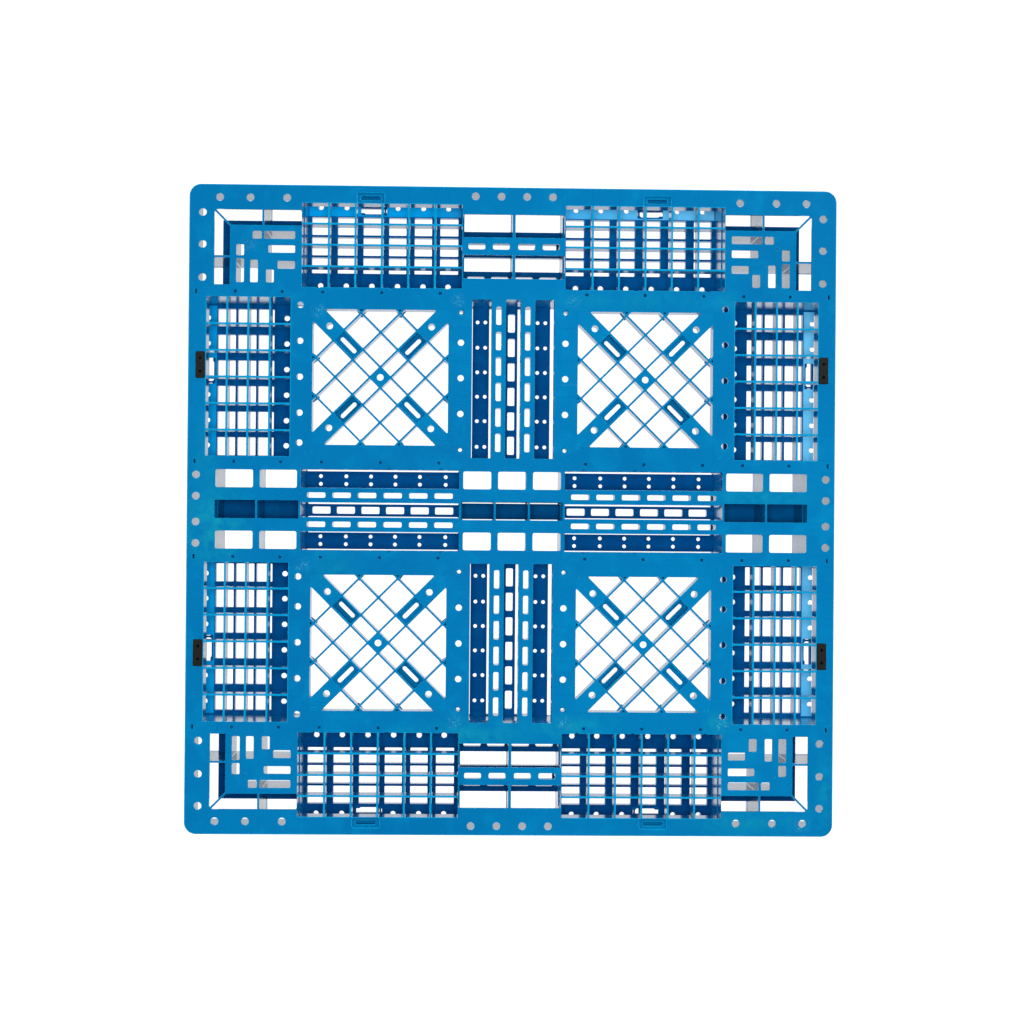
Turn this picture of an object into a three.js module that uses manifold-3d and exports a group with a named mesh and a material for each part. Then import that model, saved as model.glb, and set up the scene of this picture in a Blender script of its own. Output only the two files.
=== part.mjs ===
// Four-way plastic pallet with a perimeter base, steel reinforcement tubes and rubber anti-slip inserts.
// Millimetres, +Z up. Origin at the middle of the footprint, on the surface that the base stands on.
// X runs along the reinforcement tubes.
import * as THREE from 'three';
import { mergeVertices } from 'three/addons/utils/BufferGeometryUtils.js';
import Module from 'manifold-3d';

// ---------------------------------------------------------------- driving dimensions
const SIDE = 1100;             // overall length and width
const HEIGHT = 150;            // floor to the deck's top face
const CORNER_R = 20;           // plan radius of the deck's corners
const DECK_DEPTH = 38;         // depth of the deck's ribs and borders
const DECK_SKIN = 5;           // thickness of the deck's closed top areas
const BASE_HEIGHT = 18;        // height of the base runners
const BASE_HALF = 549;         // half width of the base frame and of the legs' outer faces
const RIB = 3.4;               // thickness of the grid ribs
const WALL = 3.6;              // thickness of the leg walls
const GAP = 0.3;               // clearance between parts that touch

const BORDER_IN = 507.5;       // inner edge of the border at the corner windows
const LEG_IN = 358;            // tunnel side of the corner and edge legs
const LEG_MID = 88;            // half width of the centre and edge legs
const ARM_IN = 481;            // inner edge of the corner windows, with a full-height rib inside it
const EDGE_WIN = { u0: 88, u1: 359.4, v0: 377, v1: 519.5 };   // grid window: u along the edge, v from the centre
const SIDE_WIN = { u0: 90, u1: 359.4, v0: 377.6, v1: 519.5 };
const CELL_RIBS = [134, 179, 224, 269, 314];                 // ribs across a grid window
const LONG_RIBS = [449];                                     // rib along a grid window
const LATTICE = { lo: 110, hi: 340, mid: 225 };              // square lattice window
const LATTICE_RIBS = [12.25, 54.1];                          // rib offsets from the window's middle, measured square to the rib
const BAND_HALF = 14;          // half width of the diagonal bands
const AXIS_WIN = 70;           // half width of the centre row and column openings
const STRIP_IN = 12.5;         // deck strips beside the centre lines
const STRIP_OUT = 37;
const STRIP_SLOTS = [116, 159, 202.3, 245.6, 288.7, 331.6];
const STRIP_SLOT = { w: 9.7, l: 32 };

const TUBE_Y = [368.5, 80.5];  // centre lines of the reinforcement tubes
const TUBE_W = 14.4;
const TUBE_H = 28;
const TUBE_T = 1.5;
const TUBE_HALF_L = 520;
const TUBE_Z = 130.3;          // centre height of the tubes
const CHANNEL_W = 15;
const CHANNEL_H = 28.6;
const CHANNEL_WALL = 1.5;
const LATCH = { x: 537.6, w: 3.8, l: 8.4 };                  // window that the end plug's tongue snaps into

const POCKET = { along: 243.4, across: 529.2, l: 45.6, w: 16.4, depth: 7, slotL: 35, slotW: 7.6, slotDepth: 8, floor: 4 };
const INSERT_PROUD = 1;        // how far the rubber stands above the deck

const BASE_WIN = { lo: 70, hi: 372 };                        // open base window
const BASE_RING_IN = 416;      // outer edge of the base's inner band
const BASE_RING_OUT = 521;     // inner edge of the base's outer strip
const BASE_BAR = 12.5;         // width of the base's cross bars
const BASE_RIM = 535.5;         // outer edge of the base's outer strip, where the gap before the rim starts
const HOOK_Y = { inner: 445, outer: 437, mid: 28, midOuter: 45 };   // where the snap hooks stand along Y
const BASE_STRIP = { mid: 10.7, in: 39.2 };                  // cross runner: middle strip, inner edge of outer strips

// ---------------------------------------------------------------- solids
const wasm = await Module();
wasm.setup();

function toSolid(geometry) {
  const g = geometry.clone();
  g.deleteAttribute('normal');
  g.deleteAttribute('uv');
  const m = mergeVertices(g, 1e-4);
  return new wasm.Manifold(new wasm.Mesh({
    numProp: 3,
    vertProperties: new Float32Array(m.attributes.position.array),
    triVerts: new Uint32Array(m.index.array),
  }));
}

function toGeometry(solid) {
  const mesh = solid.getMesh();
  const g = new THREE.BufferGeometry();
  g.setAttribute('position', new THREE.BufferAttribute(new Float32Array(mesh.vertProperties), 3));
  g.setIndex(new THREE.BufferAttribute(new Uint32Array(mesh.triVerts), 1));
  g.computeVertexNormals();
  return g;
}

function block(x0, x1, y0, y1, z0, z1) {
  const [a, b] = [Math.min(x0, x1), Math.max(x0, x1)];
  const [c, d] = [Math.min(y0, y1), Math.max(y0, y1)];
  const g = new THREE.BoxGeometry(b - a, d - c, z1 - z0);
  g.translate((a + b) / 2, (c + d) / 2, (z0 + z1) / 2);
  return toSolid(g);
}

function prism(points, z0, z1) {
  const shape = new THREE.Shape(points.map((p) => new THREE.Vector2(p[0], p[1])));
  const g = new THREE.ExtrudeGeometry(shape, { depth: z1 - z0, bevelEnabled: false });
  g.translate(0, 0, z0);
  return toSolid(g);
}

function roundedSquare(half, radius, z0, z1) {
  const pts = [];
  for (const [sx, sy, a0] of [[1, 1, 0], [-1, 1, 90], [-1, -1, 180], [1, -1, 270]]) {
    for (let i = 0; i <= 4; i++) {
      const a = (a0 + i * 22.5) * Math.PI / 180;
      pts.push([sx * (half - radius) + radius * Math.cos(a), sy * (half - radius) + radius * Math.sin(a)]);
    }
  }
  return prism(pts, z0, z1);
}

// joins a list of solids pair by pair
function joined(list) {
  let a = list;
  while (a.length > 1) {
    const b = [];
    for (let i = 0; i < a.length; i += 2) b.push(i + 1 < a.length ? a[i].add(a[i + 1]) : a[i]);
    a = b;
  }
  return a[0];
}

const QUADRANTS = [[1, 1], [-1, 1], [-1, -1], [1, -1]];
// a box given in the +X +Y quarter, repeated in all four
function four(list, x0, x1, y0, y1, z0, z1) {
  for (const [sx, sy] of QUADRANTS) list.push(block(sx * x0, sx * x1, sy * y0, sy * y1, z0, z1));
}
function fourPrism(list, points, z0, z1) {
  for (const [sx, sy] of QUADRANTS) list.push(prism(points.map(([x, y]) => [sx * x, sy * y]), z0, z1));
}

// open intervals between a and b, split by ribs of the given thickness
function cells(a, b, ribs, t) {
  const out = [];
  let lo = a;
  for (const r of ribs) {
    out.push([lo, r - t / 2]);
    lo = r + t / 2;
  }
  out.push([lo, b]);
  return out;
}

const TOP = HEIGHT;
const DECK_LOW = HEIGHT - DECK_DEPTH;
const SKIN_LOW = HEIGHT - DECK_SKIN;
const LEG_LOW = BASE_HEIGHT + GAP;
const OVER = 5;                // how far cutting shapes run past a face

// ---------------------------------------------------------------- deck with its nine legs
function makeDeck() {
  const legs = [block(-LEG_MID, LEG_MID, -90, 90, LEG_LOW, DECK_LOW + 1)];
  four(legs, LEG_IN, BASE_HALF, 359.4, BASE_HALF, LEG_LOW, DECK_LOW + 1);
  for (const s of [1, -1]) {
    legs.push(block(-LEG_MID, LEG_MID, s * 359.4, s * BASE_HALF, LEG_LOW, DECK_LOW + 1));
    legs.push(block(s * LEG_IN, s * BASE_HALF, -90, 90, LEG_LOW, DECK_LOW + 1));
  }
  const body = roundedSquare(SIDE / 2, CORNER_R, DECK_LOW, TOP)
    .add(joined(legs).intersect(roundedSquare(BASE_HALF, CORNER_R - 1, LEG_LOW - 1, DECK_LOW + 2)));

  const low = LEG_LOW - OVER;
  // hollows of the legs, closed above by the deck's skin
  let hollows = [];
  const w = WALL;
  const r = RIB / 2;
  for (const [a, b] of [[LEG_IN + w, 425 - r], [425 + r, ARM_IN - RIB], [ARM_IN, BASE_HALF - w]]) {
    for (const [c, d] of [[378.5, 427.5 - r], [427.5 + r, ARM_IN - RIB], [ARM_IN, BASE_HALF - w]]) four(hollows, a, b, c, d, low, SKIN_LOW);
  }
  for (const [c, d] of [[378.5, 449.5 - r], [449.5 + r, BASE_HALF - w]]) four(hollows, r, LEG_MID - w, c, d, low, SKIN_LOW);
  for (const [a, b] of [[LEG_IN + w, 432.8 - r], [432.8 + r, 502], [502 + w, BASE_HALF - w]]) {
    for (const s of [1, -1]) for (const [c, d] of [[-15.5, 15.5], [19, 71], [-71, -19]]) hollows.push(block(s * a, s * b, c, d, low, SKIN_LOW));
  }
  for (const [a, b] of [[-84.4, -29 - r], [-29 + r, 29 - r], [29 + r, 84.4]]) {
    for (const [c, d] of [[-15.5, 15.5], [19, 71], [-71, -19]]) hollows.push(block(a, b, c, d, low, SKIN_LOW));
  }
  // hollows under the tube channels where they cross the legs
  for (const [a, b] of [[LEG_IN + w, BASE_HALF - w]]) {
    four(hollows, a, b, 359.4 + w, 376, low, DECK_LOW - 3);
    four(hollows, a, b, 73, 90 - w, low, DECK_LOW - 3);
  }
  four(hollows, r, LEG_MID - w, 359.4 + w, 376, low, DECK_LOW - 3);
  four(hollows, r, LEG_MID - w, 73, 90 - w, low, DECK_LOW - 3);

  // the corner hollows follow the rounded outer corner
  const legHollows = joined(hollows).intersect(roundedSquare(BASE_HALF - WALL, CORNER_R - 1 - WALL, low - 1, TOP));
  hollows = [legHollows];

  // underside hollows of the closed bands between the legs
  const under = DECK_LOW - OVER;
  const hw = 3;
  for (const [a, b] of [[LEG_MID + 4, 216], [271, LEG_IN - 4]]) {
    four(hollows, a, b, EDGE_WIN.v1 + hw, SIDE / 2 - WALL, under, SKIN_LOW);
    four(hollows, EDGE_WIN.v1 + hw, SIDE / 2 - WALL, a, b, under, SKIN_LOW);
  }
  const pocketLow = TOP - POCKET.depth - POCKET.floor;
  four(hollows, 219, 268, EDGE_WIN.v1 + hw, SIDE / 2 - WALL, under, pocketLow);
  four(hollows, EDGE_WIN.v1 + hw, SIDE / 2 - WALL, 219, 268, under, pocketLow);
  for (const [a, b] of [[113, 337]]) {
    four(hollows, a, b, 343, 356, under, SKIN_LOW);
    four(hollows, a, b, 93, 107, under, SKIN_LOW);
    four(hollows, 343, 374, a, b, under, SKIN_LOW);
    four(hollows, 73, 107, a, b, under, SKIN_LOW);
  }

  // windows through the deck
  const holes = [];
  const thru = TOP + OVER;
  // corner windows, split by a rib in each arm and by a diagonal rib
  four(holes, 360, 425 - r, 481, BORDER_IN, low, thru);
  four(holes, 481, BORDER_IN, 380, 427.5 - r, low, thru);
  const d = RIB / Math.SQRT2;
  fourPrism(holes, [[425 + r, 481], [481 - d, 481], [BORDER_IN - d, BORDER_IN], [425 + r, BORDER_IN]], SKIN_LOW - 3, thru);
  fourPrism(holes, [[481, 427.5 + r], [BORDER_IN, 427.5 + r], [BORDER_IN, BORDER_IN - d], [481, 481 - d]], SKIN_LOW - 3, thru);
  // slots of the corner plates
  for (const [a, b, c, e] of [[371, 423.3, 458, 471], [427.5, 443, 458, 471], [371, 416, 434.5, 447.5], [371, 400.5, 407.5, 420.5],
    [457, 470, 384, 424.5], [457, 470, 429.5, 448.5], [433.5, 446.5, 384, 422], [406.5, 419.5, 384, 406]]) {
    four(holes, a, b, c, e, SKIN_LOW - 1, thru);
  }
  // grid windows of the four edges
  for (const [a, b] of cells(EDGE_WIN.u0, EDGE_WIN.u1, CELL_RIBS, RIB)) {
    for (const [c, e] of cells(EDGE_WIN.v0, EDGE_WIN.v1, LONG_RIBS, RIB)) four(holes, a, b, c, e, under, thru);
  }
  for (const [a, b] of cells(SIDE_WIN.u0, SIDE_WIN.u1, CELL_RIBS, RIB)) {
    for (const [c, e] of cells(SIDE_WIN.v0, SIDE_WIN.v1, LONG_RIBS, RIB)) four(holes, c, e, a, b, under, thru);
  }
  // edge legs along Y
  four(holes, 2.2, 86.5, 464.5, 503.5, SKIN_LOW - 3, thru);
  four(holes, 2.2, 86.5, 394.5, 434.5, SKIN_LOW - 3, thru);
  for (const c of [21.5, 63]) four(holes, c - 14.3, c + 14.3, 444, 454, SKIN_LOW - 5, thru);
  // edge legs along X
  for (const [a, b] of [[364, 427], [438.5, 502]]) four(holes, a, b, 37, 67, SKIN_LOW - 3, thru);
  // centre leg
  for (const [a, b] of [[-82.8, -35.5], [-23.7, 23.7], [35.5, 82.8]]) {
    for (const s of [1, -1]) holes.push(block(a, b, s * 37, s * 67, SKIN_LOW - 3, thru));
    }
  for (const [a, b] of [[-86.3, -29 - r], [-29 + r, 29 - r], [29 + r, 86.3]]) holes.push(block(a, b, -15.5, 15.5, SKIN_LOW - 3, thru));
  for (const s of [1, -1]) {
    holes.push(block(s * 362, s * (432.8 - r), -15.5, 15.5, SKIN_LOW - 3, thru));
    holes.push(block(s * (432.8 + r), s * 502, -15.5, 15.5, SKIN_LOW - 3, thru));
  }
  // centre row and column between the legs
  four(holes, STRIP_OUT, AXIS_WIN, 90, 359.4, under, thru);
  four(holes, LEG_MID + 1.7, LEG_IN, STRIP_OUT, AXIS_WIN, under, thru);
  for (const s of [1, -1]) {
    holes.push(block(-STRIP_IN, STRIP_IN, s * 90, s * 359.4, under, thru));
    holes.push(block(s * (LEG_MID + 1.7), s * LEG_IN, -STRIP_IN, STRIP_IN, under, thru));
  }
  for (const c of STRIP_SLOTS) {
    const m = (STRIP_IN + STRIP_OUT) / 2;
    four(holes, m - STRIP_SLOT.w / 2, m + STRIP_SLOT.w / 2, c - STRIP_SLOT.l / 2, c + STRIP_SLOT.l / 2, under, thru);
    four(holes, c - STRIP_SLOT.l / 2, c + STRIP_SLOT.l / 2, m - STRIP_SLOT.w / 2, m + STRIP_SLOT.w / 2, under, thru);
  }
  // lattice windows: the square opening less its diagonal ribs, bands and centre plate
  for (const [sx, sy] of QUADRANTS) {
    const L = LATTICE;
    let open = block(sx * L.lo, sx * L.hi, sy * L.lo, sy * L.hi, under, thru);
    const at = (u, v) => [sx * (L.mid + (u - v) / Math.SQRT2), sy * (L.mid + (u + v) / Math.SQRT2)];
    const bars = [];
    for (const o of [...LATTICE_RIBS, ...LATTICE_RIBS.map((v) => -v)]) {
      bars.push(prism([at(-190, o - r), at(190, o - r), at(190, o + r), at(-190, o + r)], under - 2, thru + 2));
      bars.push(prism([at(o - r, -190), at(o - r, 190), at(o + r, 190), at(o + r, -190)], under - 2, thru + 2));
    }
    const [i, m] = LATTICE_RIBS;
    bars.push(prism([at(-i, -i), at(i, -i), at(i, i), at(-i, i)], SKIN_LOW, thru + 2));
    for (const s of [1, -1]) {
      bars.push(prism([at(s * m, -BAND_HALF), at(s * 190, -BAND_HALF - 4), at(s * 190, BAND_HALF + 4), at(s * m, BAND_HALF)], SKIN_LOW, thru + 2));
      bars.push(prism([at(-BAND_HALF, s * m), at(-BAND_HALF - 4, s * 190), at(BAND_HALF + 4, s * 190), at(BAND_HALF, s * m)], SKIN_LOW, thru + 2));
    }
    open = open.subtract(joined(bars));
    holes.push(open);
  }
  // pockets for the anti-slip inserts, with an oblong recess in each floor
  const P = POCKET;
  four(holes, P.along - P.l / 2, P.along + P.l / 2, P.across - P.w / 2, P.across + P.w / 2, TOP - P.depth, thru);
  const slotLow = TOP - P.depth - P.slotDepth;
  four(holes, P.along - P.slotL / 2, P.along + P.slotL / 2, P.across - P.slotW / 2, P.across + P.slotW / 2, slotLow, thru);
  four(holes, P.across - P.w / 2, P.across + P.w / 2, P.along - P.l / 2, P.along + P.l / 2, TOP - P.depth, thru);
  four(holes, P.across - P.slotW / 2, P.across + P.slotW / 2, P.along - P.slotL / 2, P.along + P.slotL / 2, slotLow, thru);
  // closed troughs below the pockets' oblong recesses
  const troughs = [];
  const [tl, tw] = [P.slotL / 2 + 2.5, P.across + P.slotW / 2 + 2.5];
  four(troughs, P.along - tl, P.along + tl, EDGE_WIN.v1 + 1, tw, slotLow - P.floor, TOP - P.depth - 2);
  four(troughs, EDGE_WIN.v1 + 1, tw, P.along - tl, P.along + tl, slotLow - P.floor, TOP - P.depth - 2);

  let deck = body.subtract(joined(hollows)).add(joined(troughs)).subtract(joined(holes));

  // tube channels: closed boxes along X, open at both ends
  const shells = [];
  const bores = [];
  const cw = CHANNEL_W / 2 + CHANNEL_WALL;
  const ch = CHANNEL_H / 2;
  for (const y of TUBE_Y) {
    for (const s of [1, -1]) {
      shells.push(block(-SIDE / 2 + 3, SIDE / 2 - 3, s * y - cw, s * y + cw, DECK_LOW, SKIN_LOW + 1));
      bores.push(block(-SIDE / 2 - OVER, SIDE / 2 + OVER, s * y - CHANNEL_W / 2, s * y + CHANNEL_W / 2, TUBE_Z - ch, TUBE_Z + ch));
      for (const e of [1, -1]) bores.push(block(e * LATCH.x - LATCH.w / 2, e * LATCH.x + LATCH.w / 2, s * y - LATCH.l / 2, s * y + LATCH.l / 2, TUBE_Z, thru));
    }
  }
  deck = deck.add(joined(shells)).subtract(joined(bores));

  // snap windows in the leg walls
  const snaps = [];
  for (const [x, y] of snapPlaces()) {
    const s = Math.sign(x.dir);
    snaps.push(block(x.face - s * OVER, x.face + s * (WALL + 1), y - 8, y + 8, 30, 37));
  }
  return deck.subtract(joined(snaps));
}

// The snap hooks stand inside the leg walls that face +X or -X: wall face, direction into the leg, and y.
function snapPlaces() {
  const out = [];
  for (const row of [1, 0, -1]) {
    const H = HOOK_Y;
    for (const s of [1, -1]) {
      out.push([{ face: s * LEG_IN, dir: s }, row === 0 ? H.mid : row * H.inner]);
      out.push([{ face: s * BASE_HALF, dir: -s }, row === 0 ? H.midOuter : row * H.outer]);
    }
    const y = row === 0 ? H.mid : row * (H.inner + 30);
    out.push([{ face: LEG_MID, dir: -1 }, y]);
    out.push([{ face: -LEG_MID, dir: 1 }, y]);
  }
  return out;
}

// ---------------------------------------------------------------- base frame
function makeBase() {
  const low = -OVER;
  const high = BASE_HEIGHT + OVER;
  const body = roundedSquare(BASE_HALF, CORNER_R - 1, 0, BASE_HEIGHT);
  const rim = BASE_HALF - WALL;
  const holes = [];
  const B = BASE_WIN;
  four(holes, B.lo, B.hi, B.lo, B.hi, low, high);
  // cells of the perimeter runners
  for (const [a, b] of cells(94, 353, CELL_RIBS, BASE_BAR)) {
    four(holes, a, b, BASE_RING_IN, BASE_RING_OUT - 5, low, high);
    four(holes, BASE_RING_IN, BASE_RING_OUT - 5, a, b, low, high);
    four(holes, a, b, BASE_RIM, rim, low, high);
    four(holes, BASE_RIM, rim, a, b, low, high);
  }
  // corner pads
  for (const [a, b] of [[380, 418], [432, 493]]) for (const [c, e] of [[380, 420], [434, 493]]) four(holes, a, b, c, e, low, high);
  for (const [a, b] of [[363, 423], [427, rim]]) four(holes, a, b, 508, rim, low, high);
  for (const [a, b] of [[383, 425.5], [429.5, 508]]) four(holes, 508, rim, a, b, low, high);
  // edge pads along Y and X
  for (const [c, e] of [[422.5, 447], [452, 471], [492.5, rim]]) four(holes, 2.5, c === 452 ? 78 : LEG_MID - WALL, c, e, low, high);
  for (const [a, b] of [[368, 431], [434.5, 502]]) {
    four(holes, a, b, 36, 71, low, high);
    four(holes, a, b, 12.5, 15.5, low, high);
  }
  four(holes, 507, rim, 19.5, 71, low, high);
  for (const s of [1, -1]) holes.push(block(s * 507, s * rim, -15, 15, low, high));
  // centre pad
  const side = LEG_MID - WALL;
  for (const [a, b] of [[-side, -31], [-27, 27], [31, side]]) {
    for (const t of [1, -1]) {
      holes.push(block(a, b, t * 36, t * 71, low, high));
      holes.push(block(a, b, t * 12.5, t * 15.5, low, high));
    }
  }
  // gaps beside the middle strip of the cross runner
  const S = BASE_STRIP;
  four(holes, S.mid, S.in, 93, 357, low, high);
  four(holes, 91, 355, S.mid, S.in, low, high);
  let base = body.subtract(joined(holes).intersect(roundedSquare(rim, CORNER_R - 1 - WALL, low - 1, high + 1)));
  // pads under the hooks of the outer walls
  const pads = [];
  for (const [x, y] of snapPlaces()) {
    if (Math.abs(x.face) === BASE_HALF) pads.push(block(x.face + x.dir * 1, x.face + x.dir * 13, y - 9, y + 9, 0, BASE_HEIGHT));
  }
  base = base.add(joined(pads));
  // snap hooks that stand inside the legs
  const hooks = [];
  for (const [x, y] of snapPlaces()) {
    const s = x.dir;
    const inner = x.face + s * (WALL + GAP);
    const g = new THREE.ExtrudeGeometry(new THREE.Shape([
      [inner, BASE_HEIGHT - 1], [inner + s * 3, BASE_HEIGHT - 1], [inner + s * 3, 40], [inner + s * 1, 40], [inner, 38.5], [inner, 36.6],
      [inner - s * 2.6, 32], [inner - s * 2.6, 30.3], [inner, 30.3],
    ].map((p) => new THREE.Vector2(p[0], p[1]))), { depth: 14, bevelEnabled: false });
    g.rotateX(Math.PI / 2);
    g.translate(0, y + 7, 0);
    hooks.push(toSolid(g));
  }
  return base.add(joined(hooks));
}

// ---------------------------------------------------------------- steel tube, end plug, rubber insert
function makeTube() {
  const outer = block(-TUBE_HALF_L, TUBE_HALF_L, -TUBE_W / 2, TUBE_W / 2, -TUBE_H / 2, TUBE_H / 2);
  const inner = block(-TUBE_HALF_L - OVER, TUBE_HALF_L + OVER, -TUBE_W / 2 + TUBE_T, TUBE_W / 2 - TUBE_T, -TUBE_H / 2 + TUBE_T, TUBE_H / 2 - TUBE_T);
  return outer.subtract(inner);
}

// The plug points along +X: its head is flush with the deck's end face, its nose sits in the tube.
function makePlug() {
  const hw = CHANNEL_W / 2 - GAP;
  const hh = CHANNEL_H / 2 - GAP;
  const x0 = TUBE_HALF_L + GAP;
  const x1 = SIDE / 2 - GAP;
  const body = block(x0, x1, -hw, hw, -hh, hh);
  const recess = block(x1 - 12, x1 + OVER, -hw + 2, hw - 2, -hh + 2, hh - 6);
  const nw = TUBE_W / 2 - TUBE_T - GAP;
  const nh = TUBE_H / 2 - TUBE_T - GAP;
  const nose = block(x0 - 14, x0 + 1, -nw, nw, -nh, nh);
  const tongue = block(LATCH.x - LATCH.w / 2 + GAP, LATCH.x + LATCH.w / 2 - GAP, -LATCH.l / 2 + GAP, LATCH.l / 2 - GAP, hh - 1, HEIGHT - TUBE_Z - 1.6);
  return body.add(nose).add(tongue).subtract(recess);
}

// The insert is long in Y: its pad fills the pocket, and its keel is pressed into the oblong recess of the pocket's floor.
function makeInsert() {
  const P = POCKET;
  const floor = HEIGHT - P.depth;
  const pad = block(-P.w / 2 + GAP, P.w / 2 - GAP, -P.l / 2 + GAP, P.l / 2 - GAP, floor + GAP, HEIGHT + INSERT_PROUD);
  const keel = block(-P.slotW / 2 + GAP, P.slotW / 2 - GAP, -P.slotL / 2 + GAP, P.slotL / 2 - GAP, floor - P.slotDepth + GAP, floor + 1);
  let solid = pad.add(keel);
  for (const s of [1, -1]) {
    const c = new THREE.CylinderGeometry(2.2, 2.2, 8, 8);
    c.rotateX(Math.PI / 2);
    c.translate(0, s * 11.2, HEIGHT + INSERT_PROUD);
    solid = solid.subtract(toSolid(c));
  }
  return solid;
}

// ---------------------------------------------------------------- materials and assembly
const blue = new THREE.MeshStandardMaterial({ color: 0x0079bc, roughness: 0.42, metalness: 0 });
const blueBase = new THREE.MeshStandardMaterial({ color: 0x0074b4, roughness: 0.45, metalness: 0 });
const steel = new THREE.MeshStandardMaterial({ color: 0xa7abae, roughness: 0.35, metalness: 0.9 });
const plugBlue = new THREE.MeshStandardMaterial({ color: 0x0072b0, roughness: 0.45, metalness: 0 });
const rubber = new THREE.MeshStandardMaterial({ color: 0x26282a, roughness: 0.8, metalness: 0 });

const pallet = new THREE.Group();

function place(name, geometry, material, x = 0, y = 0, z = 0, turn = 0) {
  const mesh = new THREE.Mesh(geometry, material);
  mesh.name = name;
  mesh.position.set(x, y, z);
  mesh.rotation.z = turn;
  pallet.add(mesh);
}

place('deck', toGeometry(makeDeck()), blue);
place('base_frame', toGeometry(makeBase()), blueBase);

const tube = toGeometry(makeTube());
const plug = toGeometry(makePlug());
const insert = toGeometry(makeInsert());
const rows = [TUBE_Y[0], TUBE_Y[1], -TUBE_Y[1], -TUBE_Y[0]];
rows.forEach((y, i) => {
  place(`reinforcement_tube_${i + 1}`, tube, steel, 0, y, TUBE_Z);
  place(`tube_end_plug_right_${i + 1}`, plug, plugBlue, 0, y, TUBE_Z);
  place(`tube_end_plug_left_${i + 1}`, plug, plugBlue, 0, y, TUBE_Z, Math.PI);
});
for (const [name, sx, sy] of [['right_back', 1, 1], ['left_back', -1, 1], ['left_front', -1, -1], ['right_front', 1, -1]]) {
  place(`rubber_insert_${name}`, insert, rubber, sx * POCKET.across, sy * POCKET.along, 0);
}

export default pallet;
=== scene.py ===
import math

import bmesh
import bpy
from mathutils import Matrix, Vector


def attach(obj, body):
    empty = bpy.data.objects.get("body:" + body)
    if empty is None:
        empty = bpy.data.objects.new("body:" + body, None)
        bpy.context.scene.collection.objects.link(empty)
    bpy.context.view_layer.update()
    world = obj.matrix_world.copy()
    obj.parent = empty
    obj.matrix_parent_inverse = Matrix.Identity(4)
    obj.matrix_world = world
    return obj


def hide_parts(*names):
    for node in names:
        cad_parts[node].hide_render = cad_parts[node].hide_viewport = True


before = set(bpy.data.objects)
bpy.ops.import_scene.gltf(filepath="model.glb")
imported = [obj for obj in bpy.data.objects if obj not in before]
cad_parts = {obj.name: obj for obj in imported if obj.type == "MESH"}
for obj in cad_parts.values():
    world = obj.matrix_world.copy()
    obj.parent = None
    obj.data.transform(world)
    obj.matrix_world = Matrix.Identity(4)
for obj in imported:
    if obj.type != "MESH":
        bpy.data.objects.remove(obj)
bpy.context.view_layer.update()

S = 0.001  # the layout below is written in millimetres

# ------------------------------------------------------------------ layout, in mm, one quarter; the rest is mirrored
HALF = 550.0
TOP = 150.0
DECK_LOW = 112.0
SKIN_LOW = 145.0
BASE_HALF = 549.0
BASE_TOP = 18.0
LEG_LOW = 18.3
RIB = 3.4
WALL = 3.6
CELL_RIBS = [134, 179, 224, 269, 314]
LONG_RIBS = [412.5, 449, 484.5]
BASE_THIN = [446.3, 482.2]
LAT_LO, LAT_HI, LAT_MID = 110, 340, 225
LAT_RIBS = [12.25, 54.1, 100.4]
SLOTS = [116, 159, 202.3, 245.6, 288.7, 331.6]
TUBE_Y = [368.5, 80.5]
TUBE_Z = 130.3
CHANNEL_W, CHANNEL_H = 15.0, 28.6
R_EDGE = 0.4   # rounding of the moulded edges
RIM = BASE_HALF - WALL
ARM_IN = 481.0
QUADS = [(1, 1), (-1, 1), (-1, -1), (1, -1)]
SPLIT = [s * v for v in (21.83, 53.1, 65.2, 88.63, 111.7, 124.4, 138.9, 156.3, 180.2, 200.9, 225.1, 246.7, 269.8, 291.2, 311.6, 336.3, 361.2, 392.3, 410.4,
                         433.1, 447.2, 464.2, 482.3, 494.6, 502.3, 513.4, 527.2, 534.4, 540.1) for s in (-1, 1)] + [0.07]


# ------------------------------------------------------------------ mesh helpers
class Solids:
    """Collects closed solids, in mm."""

    def __init__(self):
        self.v = []
        self.f = []

    def rings(self, rings):
        n = len(rings[0])
        # faces must look outwards: the first ring's loop runs anticlockwise seen from the last ring
        a = Vector((0, 0, 0))
        r0 = [Vector(p) for p in rings[0]]
        for i in range(n):
            a += r0[i].cross(r0[(i + 1) % n])
        way = Vector(rings[-1][0]) - r0[0]
        if a.dot(way) < 0:
            rings = [list(reversed(ring)) for ring in rings]
        base = len(self.v)
        for ring in rings:
            self.v.extend(ring)
        for k in range(len(rings) - 1):
            a, b = base + k * n, base + (k + 1) * n
            for i in range(n):
                j = (i + 1) % n
                self.f.append((a + i, a + j, b + j, b + i))
        self.f.append(tuple(base + i for i in reversed(range(n))))
        top = base + (len(rings) - 1) * n
        self.f.append(tuple(top + i for i in range(n)))
        return self

    def mesh(self, name):
        me = bpy.data.meshes.new(name)
        me.from_pydata(self.v, [], self.f)
        me.validate()
        me.update()
        return me


def area2(poly):
    return sum(poly[i][0] * poly[(i + 1) % len(poly)][1] - poly[(i + 1) % len(poly)][0] * poly[i][1] for i in range(len(poly)))


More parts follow.
